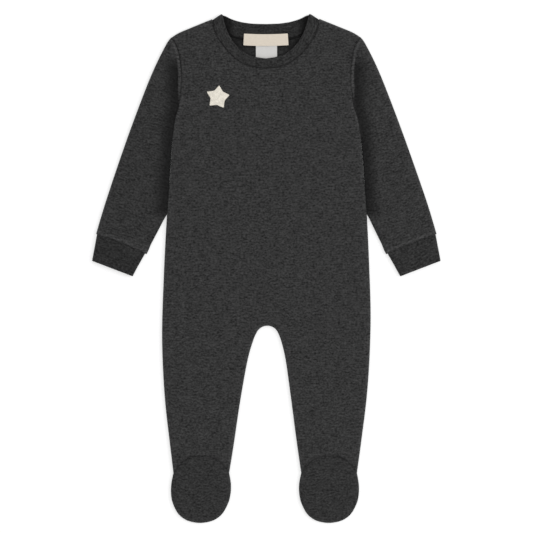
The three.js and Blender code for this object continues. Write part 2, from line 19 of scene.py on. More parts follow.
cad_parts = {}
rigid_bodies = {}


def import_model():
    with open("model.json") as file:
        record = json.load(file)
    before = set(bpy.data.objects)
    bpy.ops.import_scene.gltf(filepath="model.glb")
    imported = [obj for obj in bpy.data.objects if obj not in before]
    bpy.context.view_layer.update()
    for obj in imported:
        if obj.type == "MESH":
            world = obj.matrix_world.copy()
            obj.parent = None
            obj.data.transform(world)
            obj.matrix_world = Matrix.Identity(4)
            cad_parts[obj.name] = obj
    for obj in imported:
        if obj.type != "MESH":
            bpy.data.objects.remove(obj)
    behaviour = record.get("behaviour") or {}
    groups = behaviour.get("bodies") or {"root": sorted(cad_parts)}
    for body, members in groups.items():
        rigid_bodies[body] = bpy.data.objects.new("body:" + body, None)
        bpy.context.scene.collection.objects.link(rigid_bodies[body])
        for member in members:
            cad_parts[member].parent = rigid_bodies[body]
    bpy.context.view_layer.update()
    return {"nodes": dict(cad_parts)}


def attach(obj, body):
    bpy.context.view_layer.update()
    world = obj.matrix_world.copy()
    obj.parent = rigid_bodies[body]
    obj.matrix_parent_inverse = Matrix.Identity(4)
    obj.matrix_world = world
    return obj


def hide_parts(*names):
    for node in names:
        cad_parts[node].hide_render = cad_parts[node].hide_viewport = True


MM = 0.001
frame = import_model()
scene = bpy.context.scene
print("solids:", len(frame["nodes"]))

# %% [markdown]
# ## Camera, floor and light
# A flat garment is photographed from straight above with a long lens, so that its outline isn't bent. The
# camera hangs high over the middle of the suit, and its field of view takes in about 665 mm of the surface.
# Colours are shown plainly, without a film curve, because the background has to come out nearly pure white.

# %% Camera
FRAME_WIDTH = 664.7 * MM
FRAME_CENTRE = Vector((0.78 * MM, 3.07 * MM, 0))
CAMERA_HEIGHT = 3.2
CLOTH_TOP = 6.4 * MM

camera_data = bpy.data.cameras.new("camera")
camera_data.sensor_width = 36
camera_data.lens = camera_data.sensor_width * (CAMERA_HEIGHT - CLOTH_TOP) / FRAME_WIDTH
camera_data.clip_end = 20
camera = bpy.data.objects.new("camera", camera_data)
camera.location = FRAME_CENTRE + Vector((0, 0, CAMERA_HEIGHT))
scene.collection.objects.link(camera)
scene.camera = camera
scene.view_settings.view_transform = "Standard"
print("lens:", round(camera_data.lens), "mm")

# %% [markdown]
# The light is a white tent over a light table. The tent's even glow keeps the cloth flat and even, and the
# two soft lamps make one side of each ridge a little lighter than the other. The table glows a little
# itself, so that the suit stands on clean white, and so that its folded edges catch some light from below.

# %% Floor and light
FLOOR_SIZE = 12.0
FLOOR_DROP = 0.3 * MM
FLOOR_WHITE = 0.60
FLOOR_GLOW = 0.46
GLOW = 0.72
RIGHT_LAMP = {"place": (2.6, 0.5, 2.4), "size": 2.0, "power": 36.0}
TOP_LAMP = {"place": (0.3, -0.2, 2.5), "size": 2.0, "power": 12.0}


def new_material(name):
    material = bpy.data.materials.new(name)
    material.use_nodes = True
    return material, material.node_tree, material.node_tree.nodes["Principled BSDF"]


def set_surface(shader, roughness, specular, sheen=0.0):
    shader.inputs["Roughness"].default_value = roughness
    shader.inputs["Specular IOR Level"].default_value = specular
    shader.inputs["Sheen Weight"].default_value = sheen


def table_white():
    """A matt white that glows a little itself."""
    material, _, shader = new_material("table white")
    shader.inputs["Base Color"].default_value = (FLOOR_WHITE, FLOOR_WHITE, FLOOR_WHITE, 1)
    shader.inputs["Emission Color"].default_value = (1, 1, 1, 1)
    shader.inputs["Emission Strength"].default_value = FLOOR_GLOW
    set_surface(shader, 1.0, 0.0)
    return material


def soft_lamp(name, place, size, power):
    data = bpy.data.lights.new(name, "AREA")
    data.shape = "DISK"
    data.size = size
    data.energy = power
    lamp = bpy.data.objects.new(name, data)
    lamp.location = place
    lamp.rotation_euler = (-Vector(place)).to_track_quat("-Z", "Y").to_euler()
    lamp.visible_camera = False
    scene.collection.objects.link(lamp)


def make_floor():
    half = FLOOR_SIZE / 2
    plan = [(-half, -half), (half, -half), (half, half), (-half, half)]
    corners = [(x, y, -FLOOR_DROP) for x, y in plan]
    mesh = bpy.data.meshes.new("floor")
    mesh.from_pydata(corners, [], [(0, 1, 2, 3)])
    mesh.materials.append(table_white())
    floor = bpy.data.objects.new("floor", mesh)
    scene.collection.objects.link(floor)


make_floor()
soft_lamp("right lamp", **RIGHT_LAMP)
soft_lamp("top lamp", **TOP_LAMP)
world = bpy.data.worlds.new("white tent")
world.use_nodes = True
world.node_tree.nodes["Background"].inputs["Color"].default_value = (1, 1, 1, 1)
world.node_tree.nodes["Background"].inputs["Strength"].default_value = GLOW
scene.world = world

# %% [markdown]
# ## The pattern
# A pattern is a set of outlines. Each table below is one edge of the right half of the suit, from the top
# down, with a point only where the line changes its bend. A smooth curve runs through the points. The left
# half is the mirror of it.

# %% Thickness and heights of the cloth
CLOTH = 1.5  # wall of the knit
CUFF_WALL = 2.2  # the cuffs are folded double
BAND_THICK = 2.6  # the neckband is folded double, and is firmer
SEAM_GAP = 0.3  # between the two rims of a folded edge
ARMHOLE_GAP = -0.05  # sewn edges are pressed together, so the cloth reaches a little past the seam line
NECK_GAP = -0.10
ANKLE_GAP = -0.05
SLEEVE_TIP = (0.5, -0.1)  # the sleeve's own tip, beside the shoulder's
SIDE_PRESS = 0.45  # the sleeve's inner fold is pressed against the body's side
SIDE_PRESS_RISE = (62.0, 70.0)  # from none of that press to all of it, going up
LOFT = 6.4  # top of the suit, away from its folded edges
CUFF_LOFT = 6.8
RIM = 2.7  # height of a folded edge, half way round its fold
EDGE_ROLL = 7.0  # how far in from a folded edge the top is rounded
UNDER_ROLL = 4.0
SLEEVE_INNER_ROLL = 14.0  # a sleeve falls off more gently where it tucks in beside the body
CUFF_ROLL = 4.8
CUFF_UNDER_ROLL = 3.0

# %% Outline tables, in millimetres
NECK_POINT = (67.0, 312.0)
SHOULDER_TIP = (118.6, 288.6)
UNDERARM = (117.8, 160.9)
CROTCH_Y = -70.9
CROTCH_RADIUS = 14.6
ANKLE_Y = -254.7
LEG_CENTRE = 79.7
ANKLE_HALF = 34.8
INSTEP_RISE = 21.2
HEEL_RISE = 14.0
ARCH_POWER = 2.6

SHOULDER = [NECK_POINT, (94.9, 300.7), (108.5, 294.9), SHOULDER_TIP]
ARMHOLE = [
    SHOULDER_TIP,
    (112.2, 279.2),
    (107.9, 264.0),
    (105.7, 243.0),
    (106.6, 222.0),
    (109.6, 202.0),
    (114.3, 186.0),
    UNDERARM,
]
BODY_SIDE = [
    UNDERARM,
    (121.4, 112.0),
    (125.15, 61.0),
    (128.3, -4.0),
    (130.1, -64.0),
    (129.1, -114.0),
    (125.7, -164.0),
    (119.8, -214.0),
    (LEG_CENTRE + ANKLE_HALF, ANKLE_Y),
]
INNER_LEG = [
    (12.8, -78.4),
    (17.3, -89.1),
    (23.8, -114.1),
    (31.8, -164.1),
    (38.8, -214.1),
    (LEG_CENTRE - ANKLE_HALF, ANKLE_Y),
]
SLEEVE_OUTER = [
    SHOULDER_TIP,
    (124.2, 280.9),
    (136.9, 255.9),
    (150.6, 223.4),
    (174.0, 160.9),
    (199.8, 85.9),
    (212.6, 43.6),
]
SLEEVE_INNER = [
    (118.3, 160.9),
    (121.9, 112.0),
    (124.5, 75.0),
    (125.0, 68.6),
    (127.1, 64.4),
    (132.8, 53.0),
    (140.3, 38.1),
    (144.2, 30.4),
    (146.9, 23.6),
    (149.6, 18.4),
]
CUFF_OUTER = [(211.6, 42.3), (214.8, 25.0), (217.6, 10.2)]
CUFF_INNER = [(151.6, 18.7), (159.6, 4.6), (167.1, -9.2)]
CUFF_ARCH = -1.3  # the cuff seam bows a little away from the hand
CUFF_REACH = 0.95  # how far the cuff is pushed up against the sleeve

# A foot's edge, from the ankle to the tip of the toes: half its width, and how far down it is
FOOT_SIDE = [
    (ANKLE_HALF, ANKLE_Y),
    (35.65, -258.8),
    (36.6, -263.8),
    (37.3, -268.8),
    (37.5, -273.8),
    (37.35, -278.8),
    (36.8, -283.8),
    (35.8, -288.8),
    (34.05, -293.7),
    (31.8, -298.7),
    (28.95, -303.7),
    (24.6, -308.7),
    (18.2, -313.1),
    (12.4, -315.3),
    (6.2, -316.6),
    (0, -317.1),
]

# The neckband: where its seam and its folded edge run, from the middle out to the shoulder
FRONT_BAND_SEAM = [
    (0, 250.2),
    (20.3, 253.3),
    (34.2, 259.9),
    (45.9, 270.2),
    (55.2, 281.5),
    (61.5, 291.8),
    (65.0, 301.2),
    (65.6, 309.0),
]
FRONT_BAND_FOLD = [
    (0, 262.6),
    (15.0, 265.0),
    (26.6, 269.9),
    (36.0, 277.9),
    (43.2, 287.5),
    (47.8, 296.7),
    (51.2, 306.3),
    (53.8, 317.0),
]
BACK_BAND_SEAM = [
    (0, 286.8),
    (22.0, 287.2),
    (34.0, 288.6),
    (42.0, 290.9),
    (48.0, 295.0),
    (56.0, 301.4),
    (65.6, 309.0),
]
BACK_BAND_FOLD = [
    (0, 305.9),
    (15.5, 306.4),
    (25.0, 307.5),
    (32.0, 308.8),
    (39.8, 311.1),
    (44.8, 313.1),
    (49.6, 315.6),
    (53.8, 317.0),
]

# %% [markdown]
# Lines are handled as rows of points. A smooth line runs through its table's points, and is then measured
# out again at even steps, as a cutter walks a tape along a curve.

# %% Lines and distances
CURVE_STEPS = 24


def smooth_line(rows):
    """A smooth curve through the rows of an outline table."""
    points = np.array(rows, float)
    last = len(points) - 1
    t = np.linspace(0, 1, CURVE_STEPS, endpoint=False)[:, None]
    parts = []
    for i in range(last):
        before = points[max(i - 1, 0)]
        start = points[i]
        end = points[i + 1]
        after = points[min(i + 2, last)]
        leave = (end - before) / 2
        arrive = (after - start) / 2
        cubic = 2 * start - 2 * end + leave + arrive
        square = -3 * start + 3 * end - 2 * leave - arrive
        parts.append(cubic * t**3 + square * t**2 + leave * t + start)
    return np.vstack([*parts, points[last:]])


def lengths_along(line):
    """How far along the line each of its points is."""
    return np.concatenate([[0], np.cumsum(np.hypot(*np.diff(line, axis=0).T))])


def at_shares(line, shares):
    """Points at these shares of the line's length."""
    along = lengths_along(line)
    wanted = np.asarray(shares) * along[-1]
    return np.stack([np.interp(wanted, along, line[:, k]) for k in (0, 1)], 1)


def spaced(line, gap):
    """The line again, with its points about one gap apart."""
    count = max(1, round(lengths_along(line)[-1] / gap))
    return at_shares(line, np.linspace(0, 1, count + 1))


def beside(line, distance):
    """The line moved sideways, to the left of its direction where the distance is positive."""
    ahead = np.gradient(line, axis=0)
    ahead /= np.linalg.norm(ahead, axis=1)[:, None]
    return line + distance * np.stack([-ahead[:, 1], ahead[:, 0]], 1)


def mirrored(plan):
    return plan * (-1, 1)


def on_right(plan):
    """The same points, with those of the left half folded over onto the right."""
    return np.abs(plan * (1, 0)) + plan * (0, 1)


def distance_to(line, points, batch=3000):
    """How far each point is from the line."""
    start = line[:-1]
    step = np.diff(line, axis=0)
    square = np.maximum((step**2).sum(1), 1e-12)
    found = []
    for i in range(0, len(points), batch):
        away = points[i : i + batch, None, :] - start
        share = np.clip((away * step).sum(2) / square, 0, 1)
        away -= share[..., None] * step
        found.append(np.sqrt((away**2).sum(2).min(1)))
    return np.concatenate(found)


def ease(t):
    """Rises smoothly from 0 to 1 as t does."""
    t = np.clip(t, 0, 1)
    return t * t * (3 - 2 * t)


def between(values, start, end):
    """0 at the start value, 1 at the end value, and a smooth rise between them."""
    return ease((values - start) / (end - start))


# %% The suit's edges
def crotch_line():
    """The round arch at the crotch, and the inner leg that runs on from it."""
    legs_start = INNER_LEG[0]
    turn = math.acos(1 - (CROTCH_Y - legs_start[1]) / CROTCH_RADIUS)
    angles = np.linspace(0, turn, 12, endpoint=False)
    arch = np.stack([CROTCH_RADIUS * np.sin(angles), CROTCH_Y - CROTCH_RADIUS * (1 - np.cos(angles))], 1)
    return np.vstack([arch, smooth_line(INNER_LEG)])


def ankle_arch(rise, points=60):
    """The seam over the instep, or behind the heel, from the inner ankle to the outer one."""
    across = np.linspace(-1, 1, points)
    height = rise * (1 - np.abs(across) ** ARCH_POWER)
    return np.stack([LEG_CENTRE + across * ANKLE_HALF, ANKLE_Y + height], 1)


def foot_edge():
    """Round the foot, from the outer ankle by the toes to the inner ankle."""
    other_side = [(-x, y) for x, y in FOOT_SIDE[-2::-1]]
    return smooth_line(FOOT_SIDE + other_side) + (LEG_CENTRE, 0)


shoulder = smooth_line(SHOULDER)
armhole = smooth_line(ARMHOLE)
body_side = smooth_line(BODY_SIDE)
inner_leg = crotch_line()
sleeve_outer = smooth_line(SLEEVE_OUTER)
sleeve_inner = smooth_line(SLEEVE_INNER)
sleeve_inner[:, 0] -= np.interp(sleeve_inner[:, 1], SIDE_PRESS_RISE, (0, SIDE_PRESS))
cuff_outer = smooth_line(CUFF_OUTER)
cuff_inner = smooth_line(CUFF_INNER)
instep = ankle_arch(INSTEP_RISE)
heel = ankle_arch(HEEL_RISE)
toe_edge = foot_edge()
front_band_seam = smooth_line(FRONT_BAND_SEAM)
back_band_seam = smooth_line(BACK_BAND_SEAM)
print("from shoulder to ankle:", round(SHOULDER_TIP[1] - ANKLE_Y), "mm")

# %% [markdown]
# ## Cutting a piece
# Cloth that bends has to be made of many small facets, and they have to be smallest where it bends most,
# which is along its edges. One way is a grid of rows and columns, but rows that start on a curved neckline
# cross each other. The way chosen here is like cutting: draw the outline, lay rings of points inside it
# that follow every edge, fill the middle with an even scatter, and let Blender's Delaunay triangulation
# join them up.

# %% Cut a piece from its outline
EDGE_STEP = 1.5
RING_DEPTHS = [0.12, 0.42, 0.94, 1.64, 2.5, 3.5, 4.6, 5.8, 7.2, 9.0]
RING_STEPS = [1.5, 1.5, 1.6, 1.8, 2.0, 2.2, 2.4, 2.6, 2.8, 3.0]


def is_inside(outline, points, batch=4000):
    """True for each point that is inside the closed outline."""
    start = outline
    end = np.roll(outline, -1, axis=0)
    rise = end[:, 1] - start[:, 1]
    rise = np.where(np.abs(rise) < 1e-12, 1e-12, rise)
    found = []
    for i in range(0, len(points), batch):
        x = points[i : i + batch, 0:1]
        y = points[i : i + batch, 1:2]
        spans = (start[:, 1] > y) != (end[:, 1] > y)
        cross = start[:, 0] + (y - start[:, 1]) * (end[:, 0] - start[:, 0]) / rise
        found.append((spans & (x < cross)).sum(1) % 2 == 1)
    return np.concatenate(found)


def scatter(outline, gap):
    """An even triangular scatter of points over the outline's box."""
    low = outline.min(0)
    high = outline.max(0)
    row_gap = gap * math.sqrt(3) / 2
    rows = np.arange(low[1], high[1], row_gap)
    columns = np.arange(low[0], high[0], gap)
    x, y = np.meshgrid(columns, rows)
    x = x + gap / 2 * (np.arange(len(rows)) % 2)[:, None]
    return np.stack([x.ravel(), y.ravel()], 1)


def cut_cloth(edges, gap, edge_step=EDGE_STEP, depths=RING_DEPTHS, steps=RING_STEPS):
    """Cuts a piece in plan. Edges are (kind, line) pairs that follow each other round the piece.
    Gives its points, its triangles, and for each kind of edge the points that lie on it."""
    outline = []
    on_edge = {}
    for kind, line in edges:
        points = spaced(line, edge_step)
        first = len(outline)
        outline.extend(points[:-1])
        on_edge.setdefault(kind, set()).update(range(first, len(outline) + 1))
    outline = np.array(outline)
    count = len(outline)
    on_edge = {kind: {i % count for i in members} for kind, members in on_edge.items()}
    closed = np.vstack([outline, outline[:1]])
    x, y = outline.T
    turning = (x * np.roll(y, -1) - np.roll(x, -1) * y).sum()
    inward = 1 if turning > 0 else -1
    layers = [outline]
    for depth, step in zip(depths, steps):
        ring = beside(spaced(closed, step), inward * depth)[:-1]
        ring = ring[is_inside(outline, ring)]
        layers.append(ring[distance_to(closed, ring) > depth * 0.96])
    middle = scatter(outline, gap)
    middle = middle[is_inside(outline, middle)]
    layers.append(middle[distance_to(closed, middle) > depths[-1] + gap * 0.6])
    points = np.vstack(layers)
    order = list(range(count)) if turning > 0 else list(range(count))[::-1]
    flat, _, faces, came_from, _, _ = delaunay_2d_cdt([Vector(p) for p in points], [], [order], 1, 1e-6)
    plan = np.array([tuple(p) for p in flat])
    where = {old: new for new, olds in enumerate(came_from) for old in olds}
    on_edge = {kind: {where[i] for i in members} for kind, members in on_edge.items()}
    faces = np.array([tuple(face) for face in faces])
    a, b, c = (plan[faces[:, k]] for k in range(3))
    double_area = (b[:, 0] - a[:, 0]) * (c[:, 1] - a[:, 1]) - (b[:, 1] - a[:, 1]) * (c[:, 0] - a[:, 0])
    faces[double_area < 0] = faces[double_area < 0][:, ::-1]
    return plan, faces[np.abs(double_area) > 1e-9], on_edge


# %% [markdown]
# ## How the cloth lies
# The suit is two layers of jersey. Where they fold over an edge, the top rolls down to half the suit's
# height and the bottom rolls up to meet it. A height for every point comes from its distance to the nearest
# fold, on a quarter ellipse. Where two folds meet, their falls are blended, so no hard mitre shows.

# %% Folded edges
def fold(line, top_roll=EDGE_ROLL, under_roll=UNDER_ROLL):
    return {"line": spaced(line, 3.0), "top": top_roll, "under": under_roll}


BODY_FOLDS = [fold(shoulder), fold(sleeve_outer), fold(body_side), fold(inner_leg), fold(toe_edge)]
SLEEVE_FOLDS = [fold(shoulder), fold(sleeve_outer), fold(sleeve_inner, SLEEVE_INNER_ROLL)]
CUFF_FOLDS = [fold(cuff_outer, CUFF_ROLL, CUFF_UNDER_ROLL), fold(cuff_inner, CUFF_ROLL, CUFF_UNDER_ROLL)]
BLEND_POWER = 6


def rise_from(folds, plan, side):
    """0 at a folded edge, and 1 where the cloth lies level."""
    near = on_right(plan)
    falls = []
    for edge in folds:
        share = np.clip(distance_to(edge["line"], near) / edge[side], 0, 1)
        falls.append(1 - np.sqrt(share * (2 - share)))
    total = (np.array(falls) ** BLEND_POWER).sum(0) ** (1 / BLEND_POWER)
    return 1 - np.clip(total, 0, 1)


def under_height(folds, plan):
    return RIM * (1 - rise_from(folds, plan, "under"))


# %% [markdown]
# A sewn seam pulls the cloth down into a narrow groove, and the seam allowance underneath pushes it up into
# a soft ridge beside it. Creases are soft troughs, placed one by one: drag lines from the underarms and the
# crotch, and a few where the sleeves and the legs were folded in a drawer. None is straight, alike or deep,
# because jersey hardly holds a crease.

# %% Seams and creases
GROOVE_DEPTH = 0.9
GROOVE_WIDTH = 0.75


def ridge(distance, centre, width, height):
    """A rounded ridge that runs beside a line, as high as given, with its crest at the centre distance."""
    return height * np.exp(-(((distance - centre) / width) ** 2))


def groove(distance, depth=GROOVE_DEPTH, width=GROOVE_WIDTH):
    return -ridge(distance, 0, width, depth)


def line_shade(distance, depth, width=1.0):
    """Painted shade along a line. A seam pulls the cloth into a groove, and no light reaches the bottom of
    it.
    """
    return ridge(distance, 0, width, depth)


# start, end, how far the middle bends aside, width and depth
FRONT_CREASES = [
    ((101, 158), (55, 118), 6, 9, 0.34),
    ((99, 132), (70, 96), -5, 7, 0.22),
    ((-104, 164), (-62, 131), -7, 8, 0.30),
    ((-97, 121), (-48, 104), 5, 11, 0.20),
    ((5, -60), (29, -22), 4, 7, 0.30),
    ((-9, -58), (-40, -27), -5, 8, 0.26),
    ((58, 232), (24, 196), -6, 12, 0.22),
    ((-30, 66), (38, 48), 9, 14, 0.22),
    ((120, -96), (72, -118), 5, 9, 0.24),
    ((-121, -88), (-79, -104), -4, 10, 0.22),
    ((38, -176), (84, -190), -5, 9, 0.24),
    ((-46, -206), (-98, -196), 6, 10, 0.26),
    ((-118, 22), (-84, 4), 4, 10, 0.20),
    ((112, 34), (70, 12), -6, 12, 0.22),
]
BACK_CREASES = [
    ((98, 150), (60, 112), 5, 10, 0.30),
    ((-100, 156), (-52, 128), -6, 9, 0.26),
    ((8, -60), (34, -30), 3, 8, 0.26),
    ((-6, -58), (-30, -24), -5, 8, 0.24),
    ((-110, -120), (-64, -134), 6, 11, 0.22),
    ((112, -150), (66, -160), -5, 10, 0.22),
    ((-40, 30), (44, 44), -8, 14, 0.20),
]
SLEEVE_CREASES = [
    ((132, 118), (160, 138), 4, 7, 0.38),
    ((134, 96), (172, 112), -5, 9, 0.30),
    ((150, 58), (186, 76), 5, 8, 0.26),
    ((128, 206), (146, 190), -3, 8, 0.30),
    ((194, 62), (168, 48), 3, 6, 0.22),
]
LEFT_SLEEVE_CREASES = [
    ((130, 126), (163, 140), -4, 8, 0.34),
    ((137, 84), (170, 104), 5, 8, 0.30),
    ((146, 50), (180, 60), -4, 9, 0.26),
    ((127, 214), (143, 200), 3, 7, 0.28),
    ((200, 84), (178, 70), -3, 7, 0.22),
]


def creases(table, plan):
    """The soft troughs of a table, added up. Each one fades out at both of its ends."""
    total = np.zeros(len(plan))
    for start, end, bend, width, depth in table:
        middle = (np.array(start) + end) / 2
        along = np.array(end, float) - start
        aside = np.array([-along[1], along[0]]) / np.hypot(*along)
        line = smooth_line([start, tuple(middle + bend * aside), end])
        share = np.clip(((plan - start) @ along) / (along @ along), 0, 1)
        total -= depth * np.exp(-((distance_to(line, plan) / width) ** 2)) * np.sin(math.pi * share) ** 0.7
    return total


def waves(plan, height):
    """Very slow, shallow swells, as even a well pressed suit has."""
    x, y = plan.T
    swell = np.sin(x / 31 + 0.9 * np.sin(y / 47)) * np.sin(y / 38 + 0.7)
    ripple = 0.5 * np.sin(x / 15 - y / 22 + 1.3 * np.sin(y / 33))
    return height * (swell + ripple)


# %% [markdown]
# ## From a flat cut to a cloth wall
# A cut piece becomes a real sheet: an outer face, the same face moved in by the cloth's thickness, and a
# rounded strip round each open edge. A sleeve is one tube, so its top and under layers share their points
# along the folded edges. Each point also remembers three things for the knit: its place along the grain,
# how much painted shade its colour takes, and how much painted highlight it takes on a seam ridge or a folded
# edge.

# %% How straight the suit lies
# Nobody lays a suit quite straight. Rows of (y, how far the cloth there is off to the right), in millimetres.
BODY_LIE = [
    (330, -0.2),
    (260, 0.0),
    (215, 0.4),
    (175, 0.9),
    (120, 1.3),
    (60, 1.3),
    (-39, 0.95),
    (-89, 0.35),
    (-139, 0.0),
    (-189, -0.4),
    (-239, -0.75),
    (-330, -1.95),
]
SLEEVE_LIE = [(330, -0.2), (215, 0.0), (136, 0.2), (86, 0.5), (36, 0.55), (-60, 0.6)]
SLEEVE_FROM = (122.0, 150.0)  # from the body's way of lying to the sleeves', going out
SHOULDER_TILT = 0.003  # the shoulders slope up a little to the right
RIGHT_FOOT_OUT = 0.15  # the right foot lies a little further out
TOES_OUT = 0.6  # the toes point a little outward
CROTCH_OFF = 1.3  # the crotch lies this far to the right of the middle


def lay_down(points):
    """Moves the points of a finished piece to where the suit really lies."""
    x, y = points[:, 0], points[:, 1]
    body, sleeve = (smooth_line(rows)[::-1] for rows in (BODY_LIE, SLEEVE_LIE))
    aside = np.abs(x)
    share = between(aside, *SLEEVE_FROM) * between(y, -20, 0)
    moved = points.copy()
    moved[:, 0] += (1 - share) * np.interp(y, body[:, 0], body[:, 1])
    moved[:, 0] += share * np.interp(y, sleeve[:, 0], sleeve[:, 1])
    moved[:, 0] += RIGHT_FOOT_OUT * between(y, -215, -275) * (x > 0)
    moved[:, 0] += TOES_OUT * between(y, -262, -302) * np.sign(x)
    moved[:, 0] += CROTCH_OFF * ridge(y, -72, 60, 1.0) * between(aside, 75, 30)
    moved[:, 1] += SHOULDER_TILT * x * between(y, 200, 290)
    return moved


# %% Build cloth walls
EDGE_BULGE = 0.12  # an open edge of cloth is a little rounded
SHARP_ANGLE = math.radians(62)


def point_normals(points, faces):
    a, b, c = (points[faces[:, k]] for k in range(3))
    face_normals = np.cross(b - a, c - a)
    normals = np.zeros_like(points)
    for k in range(3):
        np.add.at(normals, faces[:, k], face_normals)
    return normals / np.maximum(np.linalg.norm(normals, axis=1), 1e-12)[:, None]


def open_edges(faces):
    """The edges that only one face has, each in its face's direction."""
    pairs = np.concatenate([faces[:, [0, 1]], faces[:, [1, 2]], faces[:, [2, 0]]])
    count = int(faces.max()) + 1
    ahead = pairs[:, 0] * count + pairs[:, 1]
    back = pairs[:, 1] * count + pairs[:, 0]
    return pairs[~np.isin(ahead, back)]


def to_object(name, points, faces, marks, material):
    """A mesh object from points in millimetres, with its marks as named attributes."""
    mesh = bpy.data.meshes.new(name)
    mesh.from_pydata((lay_down(points) * MM).tolist(), [], faces)
    for key, values in marks.items():
        kind = "FLOAT_VECTOR" if values.ndim == 2 else "FLOAT"
        attribute = mesh.attributes.new(key, kind, "POINT")
        field = "vector" if values.ndim == 2 else "value"
        attribute.data.foreach_set(field, values.astype(np.float32).ravel())
    mesh.validate()
    mesh.shade_smooth()
    mesh.set_sharp_from_angle(angle=SHARP_ANGLE)
    mesh.materials.append(material)
    piece = bpy.data.objects.new(name, mesh)
    scene.collection.objects.link(piece)
    return piece


def cloth_wall(name, points, faces, marks, material, wall, level_edge=(), bulge=EDGE_BULGE, inner_shade=None):
    """A closed wall of cloth. Points listed in level_edge are moved straight in, as on a folded edge.
    The inner face has the outer one's marks, but can have a shade of its own."""
    normals = point_normals(points, faces)
    level = sorted(level_edge)
    normals[level, 2] = 0
    normals /= np.maximum(np.linalg.norm(normals, axis=1), 1e-12)[:, None]
    count = len(points)
    inner = points - wall * normals
    rim = open_edges(faces)
    rim_points = np.unique(rim)
    place_in_rim = {int(p): 2 * count + i for i, p in enumerate(rim_points)}
    outward = np.zeros((count, 3))
    for a, b in rim:
        along = points[b] - points[a]
        side = np.cross(along, normals[a])
        side /= max(np.linalg.norm(side), 1e-12)
        outward[a] += side
        outward[b] += side
    outward = outward[rim_points]
    outward /= np.maximum(np.linalg.norm(outward, axis=1), 1e-12)[:, None]
    middle = (points[rim_points] + inner[rim_points]) / 2 + bulge * outward
    solid = faces.tolist() + (faces[:, ::-1] + count).tolist()
    for a, b in rim.tolist():
        mid_a = place_in_rim[a]
        mid_b = place_in_rim[b]
        solid.append([b, a, mid_a, mid_b])
        solid.append([mid_b, mid_a, a + count, b + count])
    every = np.vstack([points, inner, middle])
    both = {key: np.concatenate([values, values, values[rim_points]]) for key, values in marks.items()}
    # The inner face can take a painted shade of its own
    if inner_shade is not None:
        both["painted_shade"] = np.concatenate([marks["painted_shade"], inner_shade, inner_shade[rim_points]])
    return to_object(name, every, solid, both, material)


# The marks a cloth point carries: its place along the grain, its painted shade and its painted highlight
def cloth_marks(plan, degrees=0.0, shade=None, painted_highlight=None):
    none = np.zeros(len(plan))
    return {
        "cloth_place": grain(plan, degrees),
        "painted_shade": none if shade is None else shade,
        "painted_highlight": none if painted_highlight is None else painted_highlight,
    }


def area_of(points, faces):
    a, b, c = (points[faces[:, k]] for k in range(3))
    return float(np.linalg.norm(np.cross(b - a, c - a), axis=1).sum() / 2 * MM * MM)


def grain(plan, degrees=0.0):
    """Each point's place along the knit's courses and wales, in metres."""
    turn = math.radians(degrees)
    across = plan @ (math.cos(turn), math.sin(turn))
    along = plan @ (-math.sin(turn), math.cos(turn))
    return np.stack([across, along, np.zeros(len(plan))], 1) * MM


def finish_piece(piece, node):
    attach(piece, "root")
    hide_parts(node)
    print(f"{piece.name}: {len(piece.data.polygons)} faces")


def lay_sheet(piece, area):
    """Prints the area of one face of a single cut."""
    print(piece.name, "one face:", round(area, 4), "m2")


# %% [markdown]
# ## Finishes
# Heather jersey is knitted from a yarn spun of dark fibres with a few pale ones, so it is speckled. The
# speckles are about a stitch wide and drawn out along the courses. Under them is the knit itself: rows of
# small V stitches, too fine to count from a step away but plain when near. Both effects are used by several
# pieces, so each is a node group with its own inputs, built once.

# %% Helpers for node groups
def new_group(name, inputs, outputs):
    """An empty node group with named sockets. Inputs and outputs are (name, kind, start value) rows."""
    group = bpy.data.node_groups.new(name, "ShaderNodeTree")
    for title, kind, start in inputs:
        socket = group.interface.new_socket(title, in_out="INPUT", socket_type=kind)
        if start is not None:
            socket.default_value = start
    for title, kind in outputs:
        group.interface.new_socket(title, in_out="OUTPUT", socket_type=kind)
    enter = group.nodes.new("NodeGroupInput")
    leave = group.nodes.new("NodeGroupOutput")
    return group, enter.outputs, leave.inputs


def math_node(tree, operation, first, second=None, clamp=False):
    node = tree.nodes.new("ShaderNodeMath")
    node.operation = operation
    node.use_clamp = clamp
    for socket, value in zip(node.inputs, (first, second)):
        if value is None:
            continue
        if isinstance(value, (int, float)):
            socket.default_value = value
        else:
            tree.links.new(value, socket)
    return node.outputs[0]


def noise_node(tree, vector, scale, detail, roughness=0.5):
    node = tree.nodes.new("ShaderNodeTexNoise")
    node.inputs["Scale"].default_value = scale
    node.inputs["Detail"].default_value = detail
    node.inputs["Roughness"].default_value = roughness
    tree.links.new(vector, node.inputs["Vector"])
    return node.outputs["Fac"]


def stretch_node(tree, vector, stretch):
    node = tree.nodes.new("ShaderNodeVectorMath")
    node.operation = "MULTIPLY"
    node.inputs[1].default_value = stretch
    tree.links.new(vector, node.inputs[0])
    return node.outputs[0]


def range_node(tree, value, from_low, from_high, to_low, to_high):
    node = tree.nodes.new("ShaderNodeMapRange")
    node.inputs["From Min"].default_value = from_low
    node.inputs["From Max"].default_value = from_high
    node.inputs["To Min"].default_value = to_low
    node.inputs["To Max"].default_value = to_high
    tree.links.new(value, node.inputs["Value"])
    return node.outputs["Result"]


def add_bump(tree, shader, height, strength, distance):
    bump = tree.nodes.new("ShaderNodeBump")
    bump.inputs["Strength"].default_value = strength
    bump.inputs["Distance"].default_value = distance
    tree.links.new(height, bump.inputs["Height"])
    tree.links.new(bump.outputs["Normal"], shader.inputs["Normal"])


def scale_colour(tree, colour, factor):
    node = tree.nodes.new("ShaderNodeVectorMath")
    node.operation = "SCALE"
    tree.links.new(colour, node.inputs[0])
    tree.links.new(factor, node.inputs["Scale"])
    return node.outputs[0]


